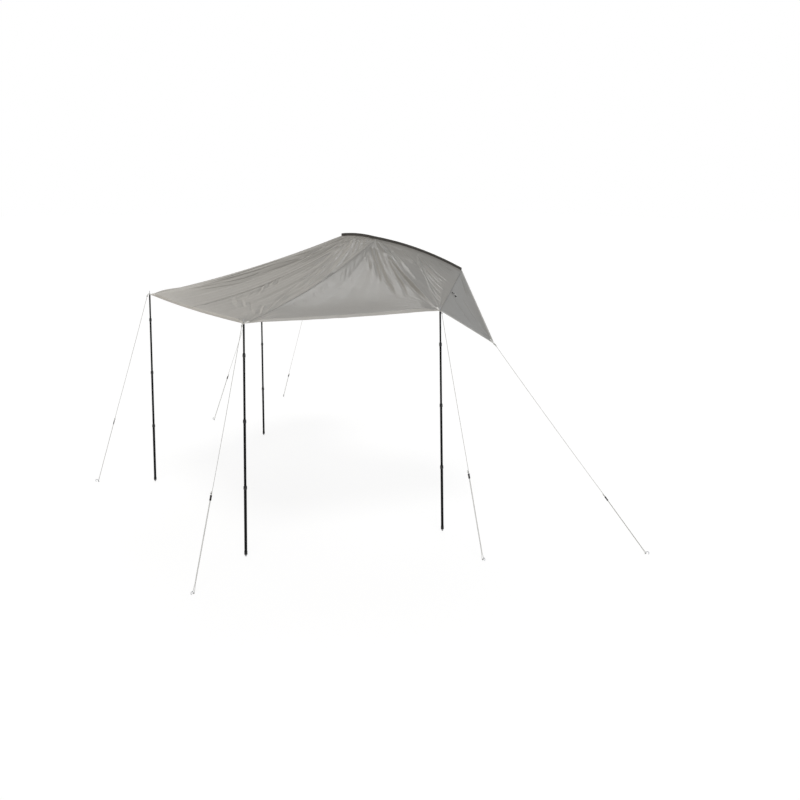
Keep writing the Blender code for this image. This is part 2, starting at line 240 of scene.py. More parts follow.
def curve_through(points, spacing):
    """Smooth line through points (centripetal Catmull-Rom), evenly spaced."""
    p = np.asarray(points, float)
    q = np.concatenate([[2 * p[0] - p[1]], p, [2 * p[-1] - p[-2]]])
    out = []
    for i in range(1, len(q) - 2):
        p0, p1, p2, p3 = q[i - 1:i + 3]
        d = [max(np.linalg.norm(b - a), 1e-9) ** 0.5 for a, b in ((p0, p1), (p1, p2), (p2, p3))]
        k0, k1, k2, k3 = 0, d[0], d[0] + d[1], sum(d)
        steps_ = max(2, int(np.linalg.norm(p2 - p1) / spacing * 2))
        k = np.linspace(k1, k2, steps_, endpoint=False)[:, None]
        a1 = (k1 - k) / (k1 - k0) * p0 + (k - k0) / (k1 - k0) * p1
        a2 = (k2 - k) / (k2 - k1) * p1 + (k - k1) / (k2 - k1) * p2
        a3 = (k3 - k) / (k3 - k2) * p2 + (k - k2) / (k3 - k2) * p3
        b1 = (k2 - k) / (k2 - k0) * a1 + (k - k0) / (k2 - k0) * a2
        b2 = (k3 - k) / (k3 - k1) * a2 + (k - k1) / (k3 - k1) * a3
        out.append((k2 - k) / (k2 - k1) * b1 + (k - k1) / (k2 - k1) * b2)
    line = np.concatenate(out + [p[-1:]])
    s = np.concatenate([[0], np.cumsum(np.linalg.norm(np.diff(line, axis=0), axis=1))])
    want = np.linspace(0, s[-1], max(2, int(round(s[-1] / spacing)) + 1))
    return np.stack([np.interp(want, s, line[:, i]) for i in range(3)], -1)


def add_turned(shape, profile, matrix, segs=40, closed=False, relief=None):
    """Turned form from (r, z) points; r = 0 closes it on the axis."""
    prof = np.asarray(profile, float)
    th = np.arange(segs) * 2 * np.pi / segs
    rings = []
    verts = []
    count = 0
    for r, z in prof:
        if r < 1e-7:
            verts.append(vec(0, 0, z)[None])
            rings.append((count, 1))
            count += 1
        else:
            rr = np.full(segs, r) if relief is None else r + relief(th, z, r)
            verts.append(np.stack([rr * np.cos(th), rr * np.sin(th), np.full(segs, z)], 1))
            rings.append((count, segs))
            count += segs
    s = np.concatenate([[0], np.cumsum(np.linalg.norm(np.diff(prof, axis=0), axis=1))])
    quads, tris, quv, tuv = [], [], [], []
    pairs = list(zip(range(len(prof) - 1), range(1, len(prof))))
    if closed:
        pairs.append((len(prof) - 1, 0))
    rmax = prof[:, 0].max()
    for a, b in pairs:
        (i, na), (j, nb) = rings[a], rings[b]
        sa, sb = s[a], (s[b] if b else s[-1] + np.linalg.norm(prof[0] - prof[-1]))
        k = np.arange(segs)
        u0, u1 = th * rmax, (th + 2 * np.pi / segs) * rmax
        if na > 1 and nb > 1:
            quads.append(np.stack([i + k, i + (k + 1) % segs, j + (k + 1) % segs, j + k], 1))
            quv.append(np.stack([np.stack([u0, u0 * 0 + sa], 1), np.stack([u1, u0 * 0 + sa], 1),
                                 np.stack([u1, u0 * 0 + sb], 1), np.stack([u0, u0 * 0 + sb], 1)], 1))
        elif na > 1:
            tris.append(np.stack([i + k, i + (k + 1) % segs, k * 0 + j], 1))
            tuv.append(np.stack([np.stack([u0, u0 * 0 + sa], 1), np.stack([u1, u0 * 0 + sa], 1),
                                 np.stack([u0, u0 * 0 + sb], 1)], 1))
        elif nb > 1:
            tris.append(np.stack([k * 0 + i, j + (k + 1) % segs, j + k], 1))
            tuv.append(np.stack([np.stack([u0, u0 * 0 + sa], 1), np.stack([u1, u0 * 0 + sb], 1),
                                 np.stack([u0, u0 * 0 + sb], 1)], 1))
    v = np.concatenate(verts)
    m = np.array(matrix, float)
    v = v @ m[:3, :3].T + m[:3, 3]
    faces, uvs = [], []
    if quads:
        faces.append(np.concatenate(quads)); uvs.append(np.concatenate(quv))
    if tris:
        faces.append(np.concatenate(tris)); uvs.append(np.concatenate(tuv))
    shape.add(v, faces, uvs)


# ============================================================== materials
def linear(r, g, b):
    """sRGB 0-255 to scene-linear."""
    out = []
    for c in (r, g, b):
        c /= 255.0
        out.append(c / 12.92 if c <= 0.04045 else ((c + 0.055) / 1.055) ** 2.4)
    return tuple(out)


class Mat:
    """A Principled material and short ways to add procedural nodes to it."""

    def __init__(self, name, rough=0.6, metal=0.0, sheen=0.0, ior=1.5, coat=0.0):
        self.m = bpy.data.materials.new(name)
        self.m.use_nodes = True
        self.nt = self.m.node_tree
        self.b = self.nt.nodes["Principled BSDF"]
        self.b.inputs["Roughness"].default_value = rough
        self.b.inputs["Metallic"].default_value = metal
        self.b.inputs["IOR"].default_value = ior
        if sheen:
            self.b.inputs["Sheen Weight"].default_value = sheen
            self.b.inputs["Sheen Roughness"].default_value = 0.45
        if coat:
            self.b.inputs["Coat Weight"].default_value = coat
            self.b.inputs["Coat Roughness"].default_value = 0.3
        self.tc = self.nt.nodes.new("ShaderNodeTexCoord")

    def link(self, a, b):
        self.nt.links.new(a, b)

    def space(self, kind="Object", scale=(1, 1, 1), rot=(0, 0, 0)):
        mp = self.nt.nodes.new("ShaderNodeMapping")
        mp.inputs["Scale"].default_value = scale
        mp.inputs["Rotation"].default_value = rot
        self.link(self.tc.outputs[kind], mp.inputs["Vector"])
        return mp.outputs["Vector"]

    def noise(self, where, scale, detail=3.0, rough=0.55, distortion=0.0):
        n = self.nt.nodes.new("ShaderNodeTexNoise")
        n.inputs["Scale"].default_value = scale
        n.inputs["Detail"].default_value = detail
        n.inputs["Roughness"].default_value = rough
        n.inputs["Distortion"].default_value = distortion
        self.link(where, n.inputs["Vector"])
        return n.outputs["Fac"]

    def voronoi(self, where, scale, feature="F1", out="Distance"):
        n = self.nt.nodes.new("ShaderNodeTexVoronoi")
        n.feature = feature
        n.inputs["Scale"].default_value = scale
        self.link(where, n.inputs["Vector"])
        return n.outputs[out]

    def wave(self, where, period, axis="X", distortion=0.0, profile="SIN"):
        n = self.nt.nodes.new("ShaderNodeTexWave")
        n.wave_type = "BANDS"
        n.bands_direction = axis
        n.wave_profile = profile
        n.inputs["Scale"].default_value = 0.314159 / period
        n.inputs["Distortion"].default_value = distortion
        n.inputs["Detail"].default_value = 1.0
        self.link(where, n.inputs["Vector"])
        return n.outputs["Fac"]

    def math(self, op, a, b=None, c=None):
        n = self.nt.nodes.new("ShaderNodeMath")
        n.operation = op
        for k, x in enumerate((a, b, c)):
            if x is None:
                continue
            if isinstance(x, (int, float)):
                n.inputs[k].default_value = x
            else:
                self.link(x, n.inputs[k])
        return n.outputs[0]

    def remap(self, x, a0, a1, b0, b1):
        n = self.nt.nodes.new("ShaderNodeMapRange")
        n.inputs["From Min"].default_value = a0
        n.inputs["From Max"].default_value = a1
        n.inputs["To Min"].default_value = b0
        n.inputs["To Max"].default_value = b1
        self.link(x, n.inputs["Value"])
        return n.outputs["Result"]

    def mix(self, fac, a, b, blend="MIX"):
        n = self.nt.nodes.new("ShaderNodeMix")
        n.data_type = "RGBA"
        n.blend_type = blend
        n.clamp_factor = True
        if isinstance(fac, (int, float)):
            n.inputs["Factor"].default_value = fac
        else:
            self.link(fac, n.inputs["Factor"])
        for sock, x in ((n.inputs[6], a), (n.inputs[7], b)):
            if isinstance(x, tuple):
                sock.default_value = (*x, 1)
            else:
                self.link(x, sock)
        return n.outputs[2]

    def z_of(self):
        n = self.nt.nodes.new("ShaderNodeSeparateXYZ")
        self.link(self.tc.outputs["Object"], n.inputs[0])
        return n.outputs["Z"]

    def colour(self, x):
        if isinstance(x, tuple):
            self.b.inputs["Base Color"].default_value = (*x, 1)
        else:
            self.link(x, self.b.inputs["Base Color"])

    def roughness(self, x):
        self.link(x, self.b.inputs["Roughness"])

    def bump(self, *layers):
        """layers: (height socket, strength, distance in metres)."""
        last = None
        for h, strength, dist in layers:
            n = self.nt.nodes.new("ShaderNodeBump")
            n.inputs["Strength"].default_value = strength
            n.inputs["Distance"].default_value = dist
            self.link(h, n.inputs["Height"])
            if last is not None:
                self.link(last, n.inputs["Normal"])
            last = n.outputs["Normal"]
        self.link(last, self.b.inputs["Normal"])
        return self.m


CLOTH_A = linear(146, 144, 139)
CLOTH_B = linear(152, 149, 143)


def cloth_material(name, darker=1.0, pucker=False):
    k = Mat(name, rough=0.42, sheen=0.10)
    a = tuple(c * darker for c in CLOTH_A)
    b = tuple(c * darker for c in CLOTH_B)
    obj = k.space("Object")
    uv = k.space("UV")
    broad = k.noise(obj, 1.7, 4.0, 0.6)
    fine = k.noise(obj, 190.0, 2.0, 0.7)
    base = k.mix(k.remap(broad, 0.3, 0.7, 0.0, 1.0), a, b)
    dust = k.noise(obj, 9.0, 6.0, 0.65)
    base = k.mix(k.remap(dust, 0.55, 0.85, 0.0, 0.10), base, linear(120, 112, 98))
    base = k.mix(k.remap(fine, 0.35, 0.65, 0.0, 0.10), base, tuple(c * 0.72 for c in a))
    k.colour(base)
    k.roughness(k.remap(k.noise(obj, 22.0, 4.0, 0.6), 0.3, 0.7, 0.28, 0.37))
    warp = k.wave(uv, 0.0011, "X")
    weft = k.wave(uv, 0.0011, "Y")
    weave = k.math("MULTIPLY", warp, weft)
    crinkle = k.noise(obj, 34.0, 5.0, 0.62, 0.4)
    layers = [(crinkle, 0.10, 0.004), (weave, 0.16, 0.0003)]
    if pucker:
        layers.insert(1, (k.wave(uv, 0.006, "Y", 1.2), 0.30, 0.0006))
    return k.bump(*layers)


def webbing_material(name, rgb, dark, period=0.0022):
    k = Mat(name, rough=0.78, sheen=0.15)
    obj, uv = k.space("Object"), k.space("UV")
    rib = k.wave(uv, period, "Y", 0.3)
    edge = k.wave(uv, period * 0.45, "X")
    n = k.noise(obj, 160.0, 4.0, 0.6)
    base = k.mix(k.remap(rib, 0.1, 0.9, 0.35, 0.0), rgb, dark)
    base = k.mix(k.remap(n, 0.35, 0.7, 0.0, 0.25), base, dark)
    k.colour(base)
    k.roughness(k.remap(n, 0.3, 0.7, 0.70, 0.86))
    return k.bump((k.math("MULTIPLY", rib, edge), 0.55, 0.0005), (n, 0.2, 0.0004))


def rope_material():
    k = Mat("guy_rope_braid", rough=0.7, sheen=0.1)
    uv = k.space("UV")
    left = k.wave(k.space("UV", rot=(0, 0, 0.96)), 0.0019, "X")
    right = k.wave(k.space("UV", rot=(0, 0, -0.96)), 0.0019, "X")
    braid = k.math("MAXIMUM", left, right)
    n = k.noise(uv, 320.0, 3.0, 0.6)
    base = k.mix(k.remap(braid, 0.25, 0.9, 0.55, 0.0), linear(196, 195, 190), linear(132, 131, 127))
    base = k.mix(k.remap(n, 0.4, 0.7, 0.0, 0.25), base, linear(160, 156, 146))
    k.colour(base)
    k.roughness(k.remap(n, 0.3, 0.7, 0.62, 0.78))
    return k.bump((braid, 0.7, 0.0005), (n, 0.25, 0.0003))


def pole_material():
    k = Mat("pole_tube_powder_coat", rough=0.5, metal=0.0)
    uv, obj = k.space("UV"), k.space("Object")
    grain = k.noise(obj, 900.0, 3.0, 0.6)
    drag = k.noise(k.space("UV", scale=(900, 14, 1)), 1.0, 5.0, 0.6)
    wipe = k.noise(obj, 7.0, 3.0, 0.5)
    base = k.mix(k.remap(drag, 0.60, 0.78, 0.0, 0.45), linear(9, 9, 10), linear(34, 34, 35))
    base = k.mix(k.remap(wipe, 0.45, 0.75, 0.0, 0.35), base, linear(16, 15, 15))
    k.colour(base)
    k.roughness(k.remap(drag, 0.3, 0.75, 0.48, 0.64))
    k.b.inputs["Specular IOR Level"].default_value = 0.12
    return k.bump((grain, 0.18, 0.0002), (drag, 0.08, 0.0002))


def plastic_material(name, rgb, rough=0.5, scale=700.0, wear=(78, 78, 78)):
    k = Mat(name, rough=rough)
    obj = k.space("Object")
    grain = k.noise(obj, scale, 3.0, 0.6)
    patch = k.noise(obj, 60.0, 4.0, 0.6)
    base = k.mix(k.remap(patch, 0.5, 0.8, 0.0, 0.35), rgb, linear(*wear))
    base = k.mix(k.remap(grain, 0.45, 0.7, 0.0, 0.2), base, tuple(c * 0.5 for c in rgb))
    k.colour(base)
    k.roughness(k.remap(patch, 0.3, 0.7, rough - 0.06, rough + 0.10))
    return k.bump((grain, 0.30, 0.00025))


def metal_material(name, rgb, rough, scale=420.0, soil=False):
    k = Mat(name, rough=rough, metal=1.0)
    obj = k.space("Object")
    flake = k.voronoi(obj, scale)
    streak = k.noise(k.space("UV", scale=(500, 60, 1)), 1.0, 4.0, 0.6)
    tint = tuple(c * 0.78 for c in rgb)
    base = k.mix(k.remap(flake, 0.0, 0.7, 0.0, 0.6), rgb, tint)
    if soil:
        n = k.noise(obj, 120.0, 4.0, 0.6)
        low = k.remap(k.math("ADD", k.z_of(), k.math("MULTIPLY", n, 0.02)), 0.022, 0.004, 0.0, 0.85)
        base = k.mix(low, base, linear(96, 84, 68))
        k.roughness(k.remap(low, 0.0, 0.85, rough, 0.85))
    else:
        k.roughness(k.remap(streak, 0.3, 0.7, rough - 0.08, rough + 0.12))
    k.colour(base)
    return k.bump((streak, 0.15, 0.0002), (flake, 0.08, 0.0002))


def rubber_material(name, rgb, dust=(92, 88, 80)):
    k = Mat(name, rough=0.75)
    obj = k.space("Object")
    grain = k.noise(obj, 520.0, 4.0, 0.65)
    low = k.remap(k.math("ADD", k.z_of(), k.math("MULTIPLY", grain, 0.012)), 0.030, 0.002, 0.0, 0.45)
    base = k.mix(k.remap(grain, 0.4, 0.7, 0.0, 0.35), rgb, tuple(c * 0.6 for c in rgb))
    k.colour(k.mix(low, base, linear(*dust)))
    k.roughness(k.remap(grain, 0.3, 0.7, 0.68, 0.86))
    return k.bump((grain, 0.35, 0.0003))


MAT = {
    "cloth": cloth_material("canopy_cloth_weave"),
    # hem cloth painted 1.55 times as bright as the canopy cloth of the same fabric: a painted highlight along the hem
    # edges
    "hem": cloth_material("canopy_hem_weave_painted_highlight", 1.55, pucker=True),
    # seam cloth painted 0.8 times as bright as the canopy cloth: painted shade for the step shadow along each felled
    # seam
    "seam": cloth_material("canopy_seam_weave_painted_shade", 0.80, pucker=True),
    "thread": webbing_material("stitching_thread", linear(150, 147, 140), linear(105, 103, 98), 0.0007),
    "tape": webbing_material("edge_tape_weave", linear(88, 85, 80), linear(58, 56, 53)),
    "web": webbing_material("corner_webbing", linear(243, 242, 238), linear(204, 202, 196)),
    "rope": rope_material(),
    "tube": pole_material(),
    "lock": plastic_material("twist_lock_plastic", linear(22, 22, 23), wear=(52, 52, 52)),
    "foot": rubber_material("pole_foot_rubber", linear(20, 20, 20), (60, 58, 54)),
    "sole": rubber_material("pole_foot_tip", linear(186, 185, 190), (160, 156, 150)),
    "pin": metal_material("pole_pin_steel", linear(214, 217, 224), 0.24),
    "eyelet": metal_material("corner_grommet_metal", linear(206, 205, 198), 0.28),
    "peg": metal_material("peg_galvanised", linear(196, 199, 203), 0.34, soil=True),
    "runner": plastic_material("line_runner_plastic", linear(44, 40, 40), 0.45),
    "toggle": plastic_material("toggle_plastic", linear(30, 30, 31), 0.42),
}

# ============================================================== guy lines
T4, T2 = vec(*INNER_TOP), vec(*OUTER_TOP)
T1 = T2 * vec(-1, 1, 1)
M, C, B, W = vec(*PEAK), vec(*SHOULDER), vec(*ARCH_END), vec(*WING_TIP)
Z = vec(0, 0, 1)


def flip(p, sign):
    return np.asarray(p, float) * vec(sign, 1, 1)


def guy(name):
    """The line's route and what its runner and peg need, as in the construction."""
    peg_xy, runner_t = PEGS[name]
    if name in CORNERS:
        _, top, sign = CORNERS[name]
        corner = flip(vec(*top), sign)
        away = unit(vec(peg_xy[0] - corner[0], peg_xy[1] - corner[1], 0))
        hold = corner + away * HOLD_OUT - Z * HOLD_DROP
    else:
        corner = flip(W, 1 if name.startswith("front") else -1)
        away = unit(vec(peg_xy[0] - corner[0], peg_xy[1] - corner[1], 0))
        hold = corner + away * WING_HOLD_OUT - Z * HOLD_DROP
    ground = vec(*peg_xy, 0)
    out = unit(vec(peg_xy[0] - hold[0], peg_xy[1] - hold[1], 0))
    cross = np.cross(Z, out)
    shank = out * math.sin(PEG_LEAN) + Z * math.cos(PEG_LEAN)
    p0 = ground + shank * 0.013
    run = unit(hold - p0)
    tilt = abs(np.dot(np.cross(run, cross), shank))
    c0 = p0 + run * (LOOP_R - ROPE_R - PEG_R / tilt - 0.0020)
    length = np.linalg.norm(hold - c0)
    d_runner = length * (1 - runner_t)
    top_run = d_runner + RUNNER_L / 2
    pts = [hold]
    for i in range(1, 12):
        k = i / 12
        d = length + (top_run + 0.02 - length) * k
        pts.append(c0 + run * d + cross * STRAND * k * k * (3 - 2 * k) - Z * 0.008 * 4 * k * (1 - k))
    down = [top_run + 0.02, d_runner, d_runner * 0.8, d_runner * 0.6, d_runner * 0.4,
            d_runner * 0.22, 0.075]
    pts += [c0 + run * d + cross * STRAND for d in down]

    def flare(k):
        return STRAND + (LOOP_R - STRAND) * k * k * (3 - 2 * k)

    pts += [c0 + run * (0.075 * (1 - i / 5)) + cross * flare(i / 5) for i in range(1, 6)]
    for i in range(1, 8):
        a = math.pi * i / 8
        pts.append(c0 + cross * LOOP_R * math.cos(a) - run * LOOP_R * math.sin(a))
    pts += [c0 + run * (0.075 * (i / 5)) - cross * flare(1 - i / 5) for i in range(0, 5)]
    pts += [c0 + run * d - cross * STRAND for d in down[:0:-1] + [top_run + 0.014]]
    return {"hold": hold, "corner": corner, "away": away, "ground": ground, "out": out, "cross": cross,
            "shank": shank, "run": run, "c0": c0, "d": d_runner, "top": top_run, "pts": np.array(pts)}


def knot(shape, centre, along, size=0.0030, sides=10):
    """An overhand knot drawn tight: a trefoil round the line's direction."""
    t = np.linspace(0, 2 * np.pi, 72, endpoint=False)
    x = (np.sin(t) + 2 * np.sin(2 * t)) * size
    y = (np.cos(t) - 2 * np.cos(2 * t)) * size
    z = -np.sin(3 * t) * size * 0.9
    a = unit(along)
    e = unit(np.cross(a, Z if abs(a[2]) < 0.9 else vec(1, 0, 0)))
    f = np.cross(a, e)
    # the knot lies along the line: its long way is the line's
    P = centre + np.outer(x, a) * 0.95 + np.outer(y, e) * 0.80 + np.outer(z, f)
    add_tube(shape, P, ROPE_R * 0.95, sides, closed=True)


GUYS = {name: guy(name) for name in PEGS}
BRAID = 2 * np.pi / 0.012
for name, g in GUYS.items():
    route = curve_through(g["pts"], 0.0035)
    length = float(np.linalg.norm(np.diff(route, axis=0), axis=1).sum())
    g["length"] = length
    sh = Shape()
    add_tube(sh, route, ROPE_R - 0.00006, 12,
             relief=lambda th, s: 0.00009 * np.cos(2 * th + BRAID * s) * np.cos(2 * th - BRAID * s) * 2)
    line = sh.make(name + "_guy_rope", MAT["rope"], "root", angle=None)
    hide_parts(name + "_guy_line")
    # knots: the eye at the corner, and the stopper above the runner
    sh = Shape()
    hold, corner, away = g["hold"], g["corner"], g["away"]
    run = g["run"]
    knot(sh, hold + (g["pts"][1] - hold) * 0.010 / np.linalg.norm(g["pts"][1] - hold), run, 0.0027)
    knot(sh, g["pts"][-1], run, 0.0026)
    tail = g["pts"][-1]
    add_tube(sh, curve_through([tail, tail + run * 0.010 - g["cross"] * 0.001,
                                tail + run * 0.022 - g["cross"] * 0.005 - Z * 0.003], 0.002),
             ROPE_R * 0.95, 10)
    side_dir = np.cross(Z, away)
    if name in CORNERS:
        eye = [hold, corner + away * 0.016 + side_dir * 0.0050 + Z * 0.0045,
               corner + away * 0.005 + side_dir * 0.0062 + Z * 0.0065,
               corner - away * 0.0040 + side_dir * 0.0044 + Z * 0.0068,
               corner - away * 0.0066 + Z * 0.0068,
               corner - away * 0.0040 - side_dir * 0.0044 + Z * 0.0068,
               corner + away * 0.005 - side_dir * 0.0062 + Z * 0.0065,
               corner + away * 0.016 - side_dir * 0.0050 + Z * 0.0045, hold + Z * 0.0005]
    else:
        eye = [hold, corner + away * 0.001 + side_dir * 0.0040 - Z * 0.006,
               corner - away * 0.010 + side_dir * 0.0045 - Z * 0.001,
               corner - away * 0.0145 + Z * 0.0005,
               corner - away * 0.010 - side_dir * 0.0045 - Z * 0.001,
               corner + away * 0.001 - side_dir * 0.0040 - Z * 0.006, hold + Z * 0.0005]
    add_tube(sh, curve_through(eye, 0.0018), ROPE_R * 0.93, 10)
    knots = sh.make(name + "_line_knots", MAT["rope"], "root", angle=None)
    tuple(hold)
    print("guy line", name, round(length, 3))


# ============================================================== canopy surface
def lerp(a, b, t):
    t = np.asarray(t, float)[..., None]
    return a + (b - a) * t


def hang(a, b, t, sag):
    t = np.asarray(t, float)
    p = lerp(a, b, t)
    p[..., 2] -= 4 * sag * t * (1 - t)
    return p


def hem_front(u):
    return hang(T1, T2, 0.5 + 0.5 * np.asarray(u, float), SAG_HEM_FRONT)


def peak_edge(u):
    p = lerp(M, C, u)
    p[..., 2] += 0.004 * np.sin(np.pi * np.asarray(u, float))
    return p


def roof_half(u, v):
    u, v = np.broadcast_arrays(np.asarray(u, float), np.asarray(v, float))
    h0 = hem_front(0.0)
    lo = lerp(hem_front(u), peak_edge(u), v)
    hi = lerp(hang(h0, M, v, SAG_CENTRE_SEAM), hang(T2, C, v, SAG_ROOF_SEAM), u)
    c = lerp(lerp(h0, T2, u), lerp(M, C, u), v)
    return lo + hi - c


def roof(u, v):
    u, v = np.broadcast_arrays(np.asarray(u, float), np.asarray(v, float))
    p = roof_half(np.abs(u), v)
    p[..., 0] *= np.where(u < 0, -1.0, 1.0)
    return p


def side(s, r):
    s, r = np.broadcast_arrays(np.asarray(s, float), np.asarray(r, float))
    a, k = np.clip(s, 0, 1), np.clip(s - 1, 0, 1)
    first = (s <= 1)[..., None]
    rim = np.where(first, hang(T2, T4, a, SAG_HEM_SIDE), lerp(T4, B, k))
    sag = SAG_ROOF_SEAM * (1 - a) + SAG_CREASE * a + SAG_SIDE * np.sin(np.pi * a)
    down = SAG_CREASE * (1 - k) + SAG_SIDE * np.sin(np.pi * k)
    out = np.where(first, -Z * sag[..., None],
                   -Z * down[..., None] + vec(0.45, -0.35, 0.82) * (ARCH_BULGE * k * k)[..., None])
    return lerp(C, rim, r) + out * (4 * r * (1 - r))[..., None]


WING_N = unit(np.cross(B - T4, W - T4))


def wing(s, r):
    s, r = np.broadcast_arrays(np.asarray(s, float), np.asarray(r, float))
    rim = lerp(T4, B, s)
    return lerp(W, rim, r) + WING_N * (SAG_WING * 4 * r * (1 - r) * np.sin(np.pi * s))[..., None]


BASE = {"roof": roof, "side": side, "wing": wing}
LIMITS = {"roof": ((-1, 1), (0, 1)), "side": ((0, 2), (0, 1)), "wing": ((0, 1), (0, 1))}
OUTWARD = {"roof": Z, "side": Z, "wing": vec(1, 0, 0.2)}


def normal(patch, a, b):
    """Outward normal of the base surface, front side."""
    f = BASE[patch]
    (a0, a1), (b0, b1) = LIMITS[patch]
    a, b = np.broadcast_arrays(np.asarray(a, float), np.asarray(b, float))
    if patch != "roof":
        b = np.maximum(b, 0.02)
    e = 2e-3
    da = f(np.minimum(a + e, a1), b) - f(np.maximum(a - e, a0), b)
    db = f(a, np.minimum(b + e, b1)) - f(a, np.maximum(b - e, b0))
    n = unit(np.cross(da, db))
    return np.where((n @ OUTWARD[patch])[..., None] < 0, -n, n)


